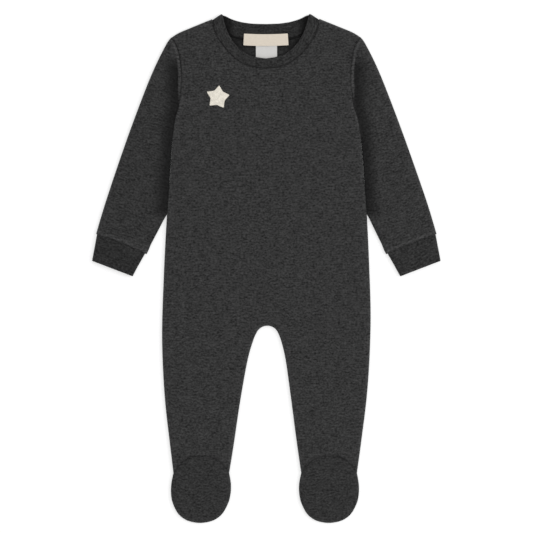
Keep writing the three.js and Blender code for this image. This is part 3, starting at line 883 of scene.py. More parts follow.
def dye(tree, shader, colour, factor):
    """Gives the shader one colour, made paler and darker by the factor."""
    base = tree.nodes.new("ShaderNodeRGB")
    base.outputs[0].default_value = (*colour, 1)
    tree.links.new(scale_colour(tree, base.outputs[0], factor), shader.inputs["Base Color"])


# %% [markdown]
# The knit stitch: along a course, each stitch is a V whose two legs lean apart. A sine wave across the
# wale, shifted by a zigzag along it, draws those legs. The group gives their height, so that a material can
# turn it into bump and can paint shade into the gaps between stitches.

# %% Knit stitches
def knit_group():
    group, given, result = new_group(
        "knit stitches",
        [("Place", "NodeSocketVector", None), ("Wales per metre", "NodeSocketFloat", 900.0)],
        [("Height", "NodeSocketFloat")],
    )
    parts = group.nodes.new("ShaderNodeSeparateXYZ")
    group.links.new(given["Place"], parts.inputs[0])
    wobble = noise_node(group, given["Place"], 160.0, 2.0)
    wobble = range_node(group, wobble, 0.0, 1.0, -0.35, 0.35)
    wale = math_node(group, "MULTIPLY", parts.outputs["X"], given["Wales per metre"])
    wale = math_node(group, "ADD", wale, wobble)
    course = math_node(group, "MULTIPLY", parts.outputs["Y"], given["Wales per metre"])
    course = math_node(group, "MULTIPLY", course, 1.25)
    zigzag = math_node(group, "PINGPONG", wale, 0.5)
    lean = math_node(group, "ADD", course, zigzag)
    legs = math_node(group, "SINE", math_node(group, "MULTIPLY", lean, 2 * math.pi))
    columns = math_node(group, "COSINE", math_node(group, "MULTIPLY", wale, 4 * math.pi))
    legs = math_node(group, "MULTIPLY", legs, 0.3)
    columns = math_node(group, "MULTIPLY", columns, -0.2)
    height = math_node(group, "ADD", legs, columns)
    group.links.new(math_node(group, "ADD", height, 0.5, clamp=True), result["Height"])
    return group


# %% [markdown]
# The heather: four kinds of speckle are added up and multiply the yarn's colour. Fibre flecks are smallest,
# then stitches of a paler or darker yarn, streaks that follow the courses, and slow clouds where one cone
# of yarn is a shade off the next.

# %% Heather speckle
def heather_group():
    group, given, result = new_group(
        "heather speckle",
        [
            ("Place", "NodeSocketVector", None),
            ("Yarn", "NodeSocketColor", (0.04, 0.04, 0.04, 1)),
            ("Speckle", "NodeSocketFloat", 1.0),
            ("Stitch height", "NodeSocketFloat", 0.5),
        ],
        [("Color", "NodeSocketColor"), ("Fleck", "NodeSocketFloat")],
    )
    place = given["Place"]
    stitches = noise_node(group, stretch_node(group, place, (0.74, 1.0, 1.0)), 500.0, 2.0, 0.5)
    flecks = noise_node(group, stretch_node(group, place, (0.5, 1.0, 1.0)), 1700.0, 2.0, 0.7)
    streaks = noise_node(group, stretch_node(group, place, (0.30, 1.0, 1.0)), 430.0, 1.0)
    clouds = noise_node(group, place, 70.0, 4.0, 0.62)
    total = range_node(group, stitches, 0.25, 0.75, -0.76, 0.76)
    layers = [
        range_node(group, flecks, 0.25, 0.75, -0.44, 0.50),
        range_node(group, streaks, 0.25, 0.75, -0.38, 0.38),
        range_node(group, clouds, 0.3, 0.7, -0.19, 0.19),
    ]
    for layer in layers:
        total = math_node(group, "ADD", total, layer)
    total = math_node(group, "MULTIPLY", total, given["Speckle"])
    # Painted shade: the low gaps between stitches are made darker
    painted_gap_shade = range_node(group, given["Stitch height"], 0.0, 0.6, -0.16, 0.04)
    total = math_node(group, "ADD", math_node(group, "ADD", total, painted_gap_shade), 1.0)
    total = math_node(group, "MAXIMUM", total, 0.18)
    group.links.new(scale_colour(group, given["Yarn"], total), result["Color"])
    group.links.new(flecks, result["Fleck"])
    return group


# %% [markdown]
# Where the sleeve tucks in beside the body, its cloth is pressed down and lies in a deep, soft shade, and
# that shade is painted darker into its colour. Painted shade also darkens the seams, the inside of the neck,
# and the sleeves and cuffs all over. A painted highlight makes the ridges beside a seam and the folded
# edges paler. One group does both, from the marks that each point carries.

# %% Painted fold shade and painted highlight
def painted_light_group():
    group, given, result = new_group(
        "painted fold shade and painted highlight",
        [
            ("Color", "NodeSocketColor", (0.04, 0.04, 0.04, 1)),
            ("Shade", "NodeSocketFloat", 0.0),
            ("Shade depth", "NodeSocketFloat", 0.5),
            ("Painted highlight", "NodeSocketFloat", 0.0),
            ("Raised lift", "NodeSocketFloat", 0.3),
        ],
        [("Color", "NodeSocketColor")],
    )
    darker = math_node(group, "MULTIPLY", given["Shade"], given["Shade depth"])
    paler = math_node(group, "MULTIPLY", given["Painted highlight"], given["Raised lift"])
    darkened = math_node(group, "SUBTRACT", 1.0, darker)
    lifted = math_node(group, "ADD", 1.0, paler)
    factor = math_node(group, "MULTIPLY", darkened, lifted)
    group.links.new(scale_colour(group, given["Color"], factor), result["Color"])
    return group


KNIT = knit_group()
HEATHER = heather_group()
PAINTED_LIGHT = painted_light_group()
print("node groups:", [g.name for g in (KNIT, HEATHER, PAINTED_LIGHT)])


# %% [markdown]
# The jersey itself: a rough, matt cloth with a weak sheen, because its surface is a short nap of cotton
# fibres. The cuffs, the neckband and the feet are the same knit a shade darker, pulled a little tighter.

# %% Jersey
SHADE_DEPTH = 0.76  # how much of its colour the cloth loses where a fold's shade is full


def group_node(tree, group, **values):
    node = tree.nodes.new("ShaderNodeGroup")
    node.node_tree = group
    for title, value in values.items():
        node.inputs[title.replace("_", " ")].default_value = value
    return node


def mark_node(tree, name):
    node = tree.nodes.new("ShaderNodeAttribute")
    node.attribute_name = name
    return node


def jersey(name, yarn, speckle=1.0, wales=900.0, painted_highlight_lift=0.3):
    material, tree, shader = new_material(name)
    place = mark_node(tree, "cloth_place").outputs["Vector"]
    knit = group_node(tree, KNIT, Wales_per_metre=wales)
    tree.links.new(place, knit.inputs["Place"])
    heather = group_node(tree, HEATHER, Yarn=(*yarn, 1), Speckle=speckle)
    tree.links.new(place, heather.inputs["Place"])
    tree.links.new(knit.outputs["Height"], heather.inputs["Stitch height"])
    # Painted shade and painted highlight change the heather's colour, by the marks that each point carries
    painted_light = group_node(tree, PAINTED_LIGHT, Shade_depth=SHADE_DEPTH, Raised_lift=painted_highlight_lift)
    tree.links.new(heather.outputs["Color"], painted_light.inputs["Color"])
    tree.links.new(mark_node(tree, "painted_shade").outputs["Fac"], painted_light.inputs["Shade"])
    tree.links.new(mark_node(tree, "painted_highlight").outputs["Fac"], painted_light.inputs["Painted highlight"])
    tree.links.new(painted_light.outputs["Color"], shader.inputs["Base Color"])
    relief = math_node(tree, "ADD", knit.outputs["Height"], heather.outputs["Fleck"])
    add_bump(tree, shader, relief, 0.55, 0.25 * MM)
    set_surface(shader, 0.92, 0.18, 0.05)
    shader.inputs["Sheen Roughness"].default_value = 0.5
    return material


BODY_YARN = (0.0285, 0.0285, 0.0286)
TRIM_SHADE = 0.81
FOOT_SHADE = 0.86
TRIM_YARN = tuple(TRIM_SHADE * part for part in BODY_YARN)
FOOT_YARN = tuple(FOOT_SHADE * part for part in BODY_YARN)
BODY_KNIT = jersey("charcoal heather jersey", BODY_YARN, painted_highlight_lift=0.6)
TRIM_KNIT = jersey("charcoal heather jersey, doubled", TRIM_YARN, speckle=1.12, wales=1000.0)
FOOT_KNIT = jersey("charcoal heather jersey, feet", FOOT_YARN)

# %% [markdown]
# ## Front
# One cut from the shoulders to the ankles, both legs in one. It rolls over at the shoulders, the sides and
# the inner legs, and is sewn to the neckband, the sleeves and the foot uppers. The neckband pulls its neck
# edge down, and the seams over the insteps leave a soft ridge on the leg side.

# %% Edges of a body panel
def panel_edges(neck_seam, ankle):
    """The outline of the front or the back, once round, from the middle of the neck by the right side."""
    neck = beside(neck_seam, -NECK_GAP)
    neck[0, 0] = 0
    neck = np.vstack([neck[:-1], [NECK_POINT]])
    right = [
        ("seam", neck),
        ("fold", shoulder),
        ("seam", armhole),
        ("fold", body_side),
        ("seam", ankle[::-1]),
        ("fold", inner_leg[::-1]),
    ]
    left = [(kind, mirrored(line)[::-1]) for kind, line in reversed(right)]
    return right + left


# %% Heights over the front
SHADE_TOP = (272.0, 250.0)  # from none to all of the shade beside the body, going down
SHADE_END = (56.0, 76.0)  # and from none to all of it, going up
RIDGE_END = (196.0, 232.0)  # below this the seam turns under, and the ridge beside it runs out

# Ridges beside a seam: how far from it, how wide and how high
NECK_RIDGE = (3.6, 2.2, 0.35)
ARMHOLE_RIDGE = (3.2, 2.0, 0.25)
INSTEP_RIDGE = (3.4, 2.2, 0.12)
# Painted highlight along the folded edges: how strong, and how wide
FOLD_HIGHLIGHT = 0.45
FOLD_HIGHLIGHT_WIDTH = 3.2


def sleeve_ridge(near):
    """Share of the full ridge beside the armhole: all of it at the top, none where the seam turns under."""
    return between(near[:, 1], *RIDGE_END)


def front_height(plan):
    """Height of the front's face, with its seams and creases."""
    near = on_right(plan)
    to_neck = distance_to(front_band_seam, near)
    to_armhole = distance_to(armhole, near)
    to_instep = distance_to(instep, near)
    level = rise_from(BODY_FOLDS, plan, "top")
    rim = RIM + SEAM_GAP / 2
    height = rim + (LOFT - rim) * level
    detail = ridge(to_neck, *NECK_RIDGE) + groove(to_neck)
    detail += ridge(to_armhole, *ARMHOLE_RIDGE) + groove(to_armhole)
    detail += ridge(to_instep, *INSTEP_RIDGE) + groove(to_instep)
    detail += creases(FRONT_CREASES, plan) + waves(plan, 0.14)
    return height + detail * level


def painted_highlight_at_folds(folds, plan):
    """Painted highlight along each folded edge, standing in for the light that the turning cloth catches."""
    near = on_right(plan)
    away = np.min([distance_to(edge["line"], near) for edge in folds], axis=0)
    return ridge(away, 0, FOLD_HIGHLIGHT_WIDTH, FOLD_HIGHLIGHT)


def front_marks(plan):
    near = on_right(plan)
    y = near[:, 1]
    to_armhole = distance_to(armhole, near)
    beside_sleeve = np.vstack([armhole, body_side[: 3 * CURVE_STEPS]])
    # Painted highlight on the body's edge beside the sleeve and along its folded edges, and painted shade in
    # the neck, instep and armhole seams
    along = between(y, RIDGE_END[1], RIDGE_END[1] - 20) * between(y, *SHADE_END)
    painted_highlight = ridge(distance_to(beside_sleeve, near), 1.6, 1.8, 0.45) * along
    painted_highlight = np.maximum(painted_highlight, painted_highlight_at_folds(BODY_FOLDS, plan))
    shade = line_shade(distance_to(front_band_seam, near), 0.5)
    shade += line_shade(distance_to(instep, near), 0.45, 1.5)
    armhole_depth = 0.42 + 0.4 * between(y, 225, 265)
    shade += line_shade(to_armhole, armhole_depth, 1.05) * sleeve_ridge(near)
    return cloth_marks(plan, shade=shade, painted_highlight=painted_highlight)


# %% Cut and lay the front
FRONT_GAP = 3.2


def make_front():
    plan, faces, on_edge = cut_cloth(panel_edges(front_band_seam, instep), FRONT_GAP)
    points = np.column_stack([plan, front_height(plan)])
    piece = cloth_wall("front_cloth", points, faces, front_marks(plan), BODY_KNIT, CLOTH, on_edge["fold"])
    finish_piece(piece, "front")
    lay_sheet(piece, area_of(points, faces))


# %% [markdown]
# ## Back
# The same cut with a higher neck and a lower arch at the heel. It lies on the surface, so its outer face is
# level there, and only the seams and a few creases lift off. Its inner face is what shows through the neck.

# %% The labels' places, because their edges shade the cloth behind them
NECK_LABEL = {"x": 0.15, "width": 55.4, "top": 293.4, "bottom": 278.8, "level": 2.9, "drop": 0.3}
CARE_LABEL = {"x": 0.8, "width": 26.4, "top": 286.8, "bottom": 243.0, "level": 1.8}


def label_outline(label, x):
    """A label's outline, as it hangs round this x."""
    left, right = x - label["width"] / 2, x + label["width"] / 2
    top, bottom = label["top"], label["bottom"]
    return np.array([(left, top), (left, bottom), (right, bottom), (right, top), (left, top)], float)


# %% Cut and lay the back
BACK_GAP = 3.8
BACK_GROOVE = 0.5


def neck_shade(plan):
    """How deep the painted shade is at a point inside the neck. It is deepest where the band turns over at
    the shoulder, in the seam behind the labels, close to the front band, and round the labels' edges."""
    near = on_right(plan)
    x, y = near.T
    to_front = distance_to(smooth_line(FRONT_BAND_FOLD), near)
    to_seam = distance_to(back_band_seam, near)
    tip = FRONT_BAND_FOLD[-1][0]
    below_seam = between(y, 268, 280) * between(y, 288.5, 286.5)
    at_shoulder = (1 - between(x, tip - 8, tip - 17)) * between(y, 291, 301)
    shade = 0.24 - 0.04 * between(y, 294, 286) + 0.42 * below_seam + 0.66 * at_shoulder
    shade += line_shade(to_front, 0.34, 4.5)
    shade += line_shade(to_seam, 0.90, 1.3) + line_shade(to_seam, 0.20, 4.5)
    for label in (NECK_LABEL, CARE_LABEL):
        to_label = distance_to(label_outline(label, label["x"]), plan)
        shade += line_shade(to_label, 0.40, 1.5)
    return np.clip(shade, 0, 1.2)


def back_height(plan):
    near = on_right(plan)
    level = rise_from(BODY_FOLDS, plan, "under")
    rim = RIM - SEAM_GAP / 2
    lift = np.zeros(len(plan))
    for seam in (back_band_seam, armhole, heel):
        lift -= groove(distance_to(seam, near), BACK_GROOVE)
    lift -= creases(BACK_CREASES, plan)
    lift += np.maximum(waves(plan, 0.08), 0)
    return rim * (1 - level) + lift * level


def make_back():
    plan, faces, on_edge = cut_cloth(panel_edges(back_band_seam, heel), BACK_GAP)
    points = np.column_stack([plan, back_height(plan)])
    downward = faces[:, ::-1]
    # Painted shade on the inner face of the back, where it shows inside the neck
    in_shade = neck_shade(plan) * between(plan[:, 1], 235, 245)
    marks = cloth_marks(plan)
    piece = cloth_wall(
        "back_cloth", points, downward, marks, BODY_KNIT, CLOTH, on_edge["fold"], inner_shade=in_shade
    )
    finish_piece(piece, "back")
    lay_sheet(piece, area_of(points, faces))


make_back()
make_front()

# %% [markdown]
# ## Sleeves
# A sleeve is one cut with a seam under the arm, so laid flat it is a tube with a folded edge on each side.
# At the armhole its edge is pushed up into a narrow ridge. Beyond the ridge the sleeve drops into a deep
# fold, because it hangs down beside the body and tucks in against it, and then it rises slowly to its full
# height. Lower down the seam turns under, the ridge runs out, and the fold starts straight at the body's
# edge.

# %% Tubes
def on_side(near, faces, side):
    """A cut for the right side, or mirrored for the left, with its faces still turned up."""
    if side == "right":
        return near, faces
    return mirrored(near), faces[:, ::-1]


def tube_wall(name, cut, heights, marks, material, wall, bulge=EDGE_BULGE):
    """A flattened tube: a top and an under layer from one cut, welded along the folded edges.
    Heights and marks are pairs, for the top and for the under layer. The area that it gives is the
    area all round."""
    plan, faces, on_edge = cut
    top, under = (np.column_stack([plan, height]) for height in heights)
    count = len(plan)
    free = np.setdiff1d(np.arange(count), list(on_edge["fold"]))
    under_index = np.arange(count)
    under_index[free] = count + np.arange(len(free))
    points = np.vstack([top, under[free]])
    both = np.vstack([faces, under_index[faces[:, ::-1]]])
    joined = {key: np.concatenate([values, marks[1][key][free]]) for key, values in marks[0].items()}
    piece = cloth_wall(name, points, both, joined, material, wall, bulge=bulge)
    return piece, area_of(points, both)


def cuff_seam_line(inner, outer):
    """The seam between a sleeve and its cuff, which bows a little away from the hand."""
    share = np.linspace(0, 1, 40)[:, None]
    across = np.array(outer) - inner
    down = np.array([across[1], -across[0]]) / np.hypot(*across)
    return np.array(inner) + across * share + down * CUFF_ARCH * np.sin(math.pi * share)


def sleeve_edges():
    """The sleeve's outline: down the armhole, the inner fold, across the cuff seam and up the outer fold."""
    top = beside(armhole, ARMHOLE_GAP)
    top[0] = np.add(SHOULDER_TIP, SLEEVE_TIP)
    top[-1] = sleeve_inner[0]
    outer = sleeve_outer.copy()
    outer[0] = top[0]
    return [("seam", top), ("fold", sleeve_inner), ("seam", sleeve_hem), ("fold", outer[::-1])]


sleeve_hem = cuff_seam_line(SLEEVE_INNER[-1], SLEEVE_OUTER[-1])
cuff_seam = cuff_seam_line(CUFF_INNER[0], CUFF_OUTER[0])
cuff_hem = np.array([CUFF_INNER[-1], CUFF_OUTER[-1]], float)


# %% Heights over a sleeve
TROUGH_FLOOR = 3.9
TROUGH_WIDTH = 20.0
RIDGE_WIDTH = 4.0
SLEEVE_RIDGE = (2.1, 1.5, 0.55)
HEM_RIDGE = (2.6, 1.9)
HEM_RIDGE_HEIGHT = 0.75
PUCKER_PITCH = 2.6
PUCKER_HEIGHT = 0.12


def shade_beside_body(near):
    y = near[:, 1]
    return between(y, *SHADE_TOP) * between(y, *SHADE_END)


def hem_height(near):
    """The hem is pushed up into a ridge, with the small puckers that the needle leaves along it."""
    across = np.array(SLEEVE_OUTER[-1]) - SLEEVE_INNER[-1]
    along = (near @ across) / np.hypot(*across)
    puckers = PUCKER_HEIGHT * np.sin(along * 2 * math.pi / PUCKER_PITCH)
    to_hem = distance_to(sleeve_hem, near)
    return ridge(to_hem, *HEM_RIDGE, HEM_RIDGE_HEIGHT + puckers) + groove(to_hem)


def sleeve_top_height(near, table):
    level = rise_from(SLEEVE_FOLDS, near, "top")
    height = RIM + (LOFT - RIM) * level
    to_armhole = distance_to(armhole, near)
    has_ridge = sleeve_ridge(near)
    start = RIDGE_WIDTH * has_ridge
    beyond = np.clip((to_armhole - start) / TROUGH_WIDTH, 0, 1)
    trough = TROUGH_FLOOR + (LOFT - TROUGH_FLOOR) * np.sqrt(beyond * (2 - beyond))
    off_ridge = between(to_armhole - start, -0.4, 1.2)
    height += (np.minimum(height, trough) - height) * shade_beside_body(near) * off_ridge
    detail = (ridge(to_armhole, *SLEEVE_RIDGE) + groove(to_armhole)) * has_ridge
    detail += hem_height(near) + creases(table, near) + waves(near, 0.12)
    return height + detail * level


def sleeve_marks(near):
    has_ridge = sleeve_ridge(near)
    to_body = distance_to(np.vstack([armhole, sleeve_inner]), near)
    beyond = to_body - RIDGE_WIDTH * has_ridge
    on_ridge = 1 - between(beyond, -0.6, 0.6)
    # Painted shade in the fold beside the body, and painted highlight on the ridge by the armhole, on the hem
    # ridge and along the outer fold
    shade = (1 - between(beyond, 3.5, 24.5)) * shade_beside_body(near) * (1 - on_ridge * has_ridge)
    painted_highlight = ridge(to_body, 2.1, 1.6, 1.0) * has_ridge
    painted_highlight += ridge(distance_to(sleeve_hem, near), *HEM_RIDGE, 1.0)
    painted_highlight = np.maximum(painted_highlight, painted_highlight_at_folds([SLEEVE_FOLDS[1]], near))
    return shade, painted_highlight


# %% Cut and lay the sleeves
SLEEVE_GAP = 3.0
SLEEVE_GRAIN = 15.0


def make_sleeve(side, table, painted_piece_shade, strength):
    """One sleeve. The painted shade all over it is at least the given one, and the strength is that of the
    painted shade beside the body."""
    near, faces, on_edge = cut_cloth(sleeve_edges(), SLEEVE_GAP)
    top = sleeve_top_height(near, table)
    top[list(on_edge["fold"])] = RIM
    heights = (top, under_height(SLEEVE_FOLDS, near))
    shade, painted_highlight = sleeve_marks(near)
    plan, faces = on_side(near, faces, side)
    degrees = SLEEVE_GRAIN if side == "right" else -SLEEVE_GRAIN
    marks_top = cloth_marks(plan, degrees, np.maximum(shade * strength, painted_piece_shade), painted_highlight)
    marks = (marks_top, cloth_marks(plan, degrees))
    name = f"sleeve_{side}_cloth"
    piece, area = tube_wall(name, (plan, faces, on_edge), heights, marks, BODY_KNIT, CLOTH)
    finish_piece(piece, f"sleeve_{side}")
    print(name, "all round:", round(area, 4), "m2")


# Painted shade all over each sleeve, deeper on the left one, which lies further from the right lamp
make_sleeve("right", SLEEVE_CREASES, painted_piece_shade=0.04, strength=0.91)
make_sleeve("left", LEFT_SLEEVE_CREASES, painted_piece_shade=0.12, strength=1.0)

# %% [markdown]
# ## Cuffs
# A cuff is a short tube of the same knit, folded double, so its hem is a soft round fold. It is a little
# narrower than the sleeve, which is eased into it.

# %% Cut and lay the cuffs
CUFF_GAP = 2.2
CUFF_EDGE_STEP = 1.2
CUFF_DEPTHS = [0.12, 0.42, 0.9, 1.6, 2.5, 3.5, 4.8]
CUFF_STEPS = [1.2, 1.2, 1.3, 1.5, 1.8, 2.0, 2.2]
CUFF_GRAIN = 20.0
CUFF_BULGE = 0.45  # its doubled edge is rounder than a single one
CUFF_HEM_WIDTH = 1.1


def cuff_edges():
    seam = beside(cuff_seam, CUFF_REACH)
    inner = np.vstack([seam[:1], cuff_inner[1:]])
    outer = np.vstack([seam[-1:], cuff_outer[1:]])
    return [("seam", seam[::-1]), ("fold", inner), ("hem", cuff_hem), ("fold", outer[::-1])]


def cuff_heights(near, on_edge):
    """Heights of the cuff's top and under side. Both turn in at the hem, which is a soft fold."""
    level = rise_from(CUFF_FOLDS, near, "top")
    to_hem = distance_to(cuff_hem, near)
    at_hem = np.exp(-to_hem / CUFF_HEM_WIDTH)
    detail = groove(distance_to(cuff_seam, near), 1.0, 0.9) + ridge(to_hem, 3.0, 2.0, 0.15)
    detail += waves(near, 0.12) - 0.55 * at_hem
    top = RIM + (CUFF_LOFT - RIM + detail) * level
    top[list(on_edge["fold"])] = RIM
    return top, under_height(CUFF_FOLDS, near) + 0.4 * at_hem


def make_cuff(side, painted_piece_shade):
    near, faces, on_edge = cut_cloth(cuff_edges(), CUFF_GAP, CUFF_EDGE_STEP, CUFF_DEPTHS, CUFF_STEPS)
    heights = cuff_heights(near, on_edge)
    plan, faces = on_side(near, faces, side)
    degrees = CUFF_GRAIN if side == "right" else -CUFF_GRAIN
    # Painted shade all over the cuff
    marks = cloth_marks(plan, degrees, np.full(len(plan), painted_piece_shade))
    name = f"cuff_{side}_cloth"
    cut = (plan, faces, on_edge)
    piece, area = tube_wall(name, cut, heights, (marks, marks), TRIM_KNIT, CUFF_WALL, CUFF_BULGE)
    finish_piece(piece, f"cuff_{side}")
    print(name, "all round:", round(area, 4), "m2")


# Painted shade all over each cuff, deeper on the left one, which lies further from the right lamp
for side, painted_piece_shade in (("right", 0.06), ("left", 0.24)):
    make_cuff(side, painted_piece_shade)

# %% [markdown]
# ## Feet
# Each foot has an upper, which starts in an arched seam over the instep, and a sole that turns up behind
# the heel. They are joined round the edge, which is another folded edge of the suit.

# %% Cut and lay the feet
FOOT_GAP = 2.8
FOOT_GRAIN = 4.0
UPPER_RIDGE = (4.0, 2.6, 0.15)


def foot_edges(arch):
    top = beside(arch, -ANKLE_GAP)
    top[0] = toe_edge[-1]
    top[-1] = toe_edge[0]
    return [("seam", top), ("fold", toe_edge)]


def upper_height(near):
    level = rise_from(BODY_FOLDS, near, "top")
    to_arch = distance_to(instep, near)
    rim = RIM + SEAM_GAP / 2
    detail = groove(to_arch) + ridge(to_arch, *UPPER_RIDGE) + waves(near, 0.16)
    return rim + (LOFT - rim + detail) * level


def sole_height(near):
    level = rise_from(BODY_FOLDS, near, "under")
    return (RIM - SEAM_GAP / 2) * (1 - level) - groove(distance_to(heel, near), BACK_GROOVE) * level


def make_foot_piece(part, side, arch, height, turned_up):
    near, faces, on_edge = cut_cloth(foot_edges(arch), FOOT_GAP)
    plan, facing = on_side(near, faces, side)
    points = np.column_stack([plan, height(near)])
    degrees = FOOT_GRAIN if side == "right" else -FOOT_GRAIN
    # Painted shade along the seam over the instep or behind the heel, and painted highlight at the folded
    # edge
    shade = line_shade(distance_to(arch, near), 0.3, 0.9)
    marks = cloth_marks(plan, degrees, shade, painted_highlight_at_folds(BODY_FOLDS, plan))
    outward = facing if turned_up else facing[:, ::-1]
    name = f"{part}_{side}_cloth"
    piece = cloth_wall(name, points, outward, marks, FOOT_KNIT, CLOTH, on_edge["fold"])
    finish_piece(piece, f"{part}_{side}")
    lay_sheet(piece, area_of(points, faces))


for side in ("right", "left"):
    make_foot_piece("foot_upper", side, instep, upper_height, True)
    make_foot_piece("sole", side, heel, sole_height, False)

# %% [markdown]
# ## Neckband
# A ring of jersey, folded double along its inner edge. It lies flat in front, turns over at each shoulder
# and comes back behind the neck, where its inner side shows. A loft of sections round the ring makes it,
# because it is thick and firm, with soft round edges. Each section is a flattened ellipse from the seam to
# the fold.

# %% Sections round the neckband
BAND_STATIONS = 56
BAND_TURN_STEPS = 9
BAND_SECTION = 30
BAND_SQUARE = {"fold": 3.4, "seam": 8.0}  # 2 is an ellipse, and more is squarer
BAND_RISE = 0.1
BAND_PRESS = 0.45  # 1 would turn the band over in a half circle, but it is pressed nearly flat


def band_run(seam_rows, fold_rows, height, facing):
    """Stations from the middle of the neck to one shoulder: seam point, fold point and which way is out."""
    shares = np.linspace(0, 1, BAND_STATIONS)
    seam = at_shares(smooth_line(seam_rows), shares)
    edge = at_shares(smooth_line(fold_rows), shares)
    level = np.full((BAND_STATIONS, 1), height)
    out = np.tile([0.0, 0.0, facing], (BAND_STATIONS, 1))
    return np.hstack([seam, level]), np.hstack([edge, level]), out


def band_stations():
    half = BAND_THICK / 2
    front_level = LOFT + BAND_RISE - half
    front = band_run(FRONT_BAND_SEAM, FRONT_BAND_FOLD, front_level, 1.0)
    back = band_run(BACK_BAND_SEAM, BACK_BAND_FOLD, half, -1.0)
    seam_end = front[0][-1]
    fold_end = front[1][-1]
    across = fold_end - seam_end
    across /= np.linalg.norm(across)
    outward = np.array([across[1], -across[0], 0])
    turn = (front_level - half) / 2
    angles = np.linspace(0, math.pi, BAND_TURN_STEPS + 2)[1:-1, None]
    out = np.cos(angles) * (0, 0, 1) + np.sin(angles) * outward
    move = turn * (BAND_PRESS * np.sin(angles) * outward + (np.cos(angles) - 1) * np.array([0, 0, 1]))
    bend = (seam_end + move, fold_end + move, out)
    right = [np.vstack([f, b, k[::-1]]) for f, b, k in zip(front, bend, back)]
    left = [part[1:-1][::-1] * (-1, 1, 1) for part in right]
    return [np.vstack(pair) for pair in zip(right, left)]


def ring_faces(rows, columns):
    """Faces of a closed loft: rows of sections round the neck, and columns of points round each section."""
    index = np.arange(rows * columns).reshape(rows, columns)
    ahead = np.roll(index, -1, axis=0)
    aside = np.roll(index, -1, axis=1)
    return np.stack([index, aside, np.roll(ahead, -1, axis=1), ahead], 2).reshape(-1, 4).tolist()


def make_neckband():
    seam, edge, out = band_stations()
    across = edge - seam
    width = np.linalg.norm(across, axis=1)
    across /= width[:, None]
    angles = np.linspace(0, 2 * math.pi, BAND_SECTION, endpoint=False)
    cosine, sine = np.cos(angles), np.sin(angles)
    power = 2 / np.where(cosine > 0, BAND_SQUARE["fold"], BAND_SQUARE["seam"])
    along = np.sign(cosine) * np.abs(cosine) ** power
    thick = np.sign(sine) * np.abs(sine) ** power
    reach = width[:, None] * (1 + along) / 2
    lift = BAND_THICK / 2 * thick
    points = seam[:, None] + across[:, None] * reach[..., None] + out[:, None] * lift[:, None]
    rows, columns = points.shape[:2]
    faces = ring_faces(rows, columns)
    middle = (seam + edge) / 2
    steps = np.linalg.norm(np.diff(np.vstack([middle, middle[:1]]), axis=0), axis=1)
    run = np.concatenate([[0], np.cumsum(steps)[:-1]])
    place = np.stack([np.repeat(run, columns), reach.ravel(), np.zeros(rows * columns)], 1) * MM
    flat_points = points.reshape(-1, 3)
    level = flat_points[:, 2]
    inner_side = between(level, 3.6, 2.8) * between(level, 0.6, 1.6)
    # Painted shade on the band's inner side inside the neck, and along its seam
    at_seam = line_shade(reach.ravel(), 0.62, 1.3) * between(level, LOFT / 2, LOFT / 2 + 1)
    shade = inner_side * neck_shade(flat_points[:, :2]) + at_seam
    marks = {"cloth_place": place, "painted_shade": shade, "painted_highlight": np.zeros(rows * columns)}
    piece = to_object("neckband_cloth", flat_points, faces, marks, TRIM_KNIT)
    finish_piece(piece, "neckband")


make_neckband()

# %% [markdown]
# ## Threads
# Only two kinds of stitch show: small stitches over the star's edge, and short rows that hold the neck
# label's ends. Each stitch is a little arc of thread that leaves the cloth, crosses it and goes back in.

# %% Stitches
THREAD_SIDES = 6
THREAD_STEPS = 6


def sew(name, stitches, radius, material):
    """Joins many stitches in one mesh. Each stitch is (start, end, height of its arc), in millimetres."""
    points = []
    faces = []
    turn = np.linspace(0, 2 * math.pi, THREAD_SIDES, endpoint=False)[:, None]
    up = np.array([0, 0, 1.0])
    for start, end, arc in stitches:
        start, end = np.array(start, float), np.array(end, float)
        along = end - start
        along /= np.linalg.norm(along)
        aside = np.cross(along, up)
        first = len(points)
        for t in np.linspace(0, 1, THREAD_STEPS + 1):
            centre = start + (end - start) * t + arc * math.sin(math.pi * t) * up
            size = radius * (0.45 + 0.55 * math.sin(math.pi * min(max(t, 0.08), 0.92)) ** 0.5)
            points.extend(centre + size * (np.cos(turn) * aside + np.sin(turn) * up))
        for i in range(THREAD_STEPS):
            for j in range(THREAD_SIDES):
                a = first + i * THREAD_SIDES + j
                b = first + i * THREAD_SIDES + (j + 1) % THREAD_SIDES
                faces.append([a, b, b + THREAD_SIDES, a + THREAD_SIDES])
        last = first + THREAD_STEPS * THREAD_SIDES
        faces.append([first + j for j in range(THREAD_SIDES)][::-1])
        faces.append([last + j for j in range(THREAD_SIDES)])
    points = np.array(points)
    threads = to_object(name, points, faces, {"cloth_place": points * MM}, material)
    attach(threads, "root")
    print(f"{name}: {len(stitches)} stitches")
    return threads


# %% [markdown]
# ## Star
# The star is a soft cream patch with five short, blunt arms. It leans a little, and its edge was cut by
# hand, so no two arms are quite alike. It is crowned like felt, and small stitches in the same cream hold
# its edge down.

# %% Cream felt and thread
def cream_cloth(name, colour, bump_scale, bump_distance, roughness=0.9, variation=0.06):
    material, tree, shader = new_material(name)
    place = mark_node(tree, "cloth_place").outputs["Vector"]
    tufts = noise_node(tree, place, bump_scale, 3.0, 0.6)
    clouds = noise_node(tree, place, bump_scale / 6, 2.0)
    fine = range_node(tree, tufts, 0.25, 0.75, 1 - variation, 1 + variation)
    broad = range_node(tree, clouds, 0.3, 0.7, 1 - variation / 2, 1.0)
    dye(tree, shader, colour, math_node(tree, "MULTIPLY", fine, broad))
    add_bump(tree, shader, tufts, 0.7, bump_distance)
    set_surface(shader, roughness, 0.2, 0.1)
    return material


STAR_FELT = cream_cloth("cream felt", (0.814, 0.768, 0.672), 1500.0, 0.3 * MM, variation=0.44)
CREAM_THREAD = cream_cloth("cream thread", (0.84, 0.80, 0.72), 2500.0, 0.05 * MM, roughness=0.6)

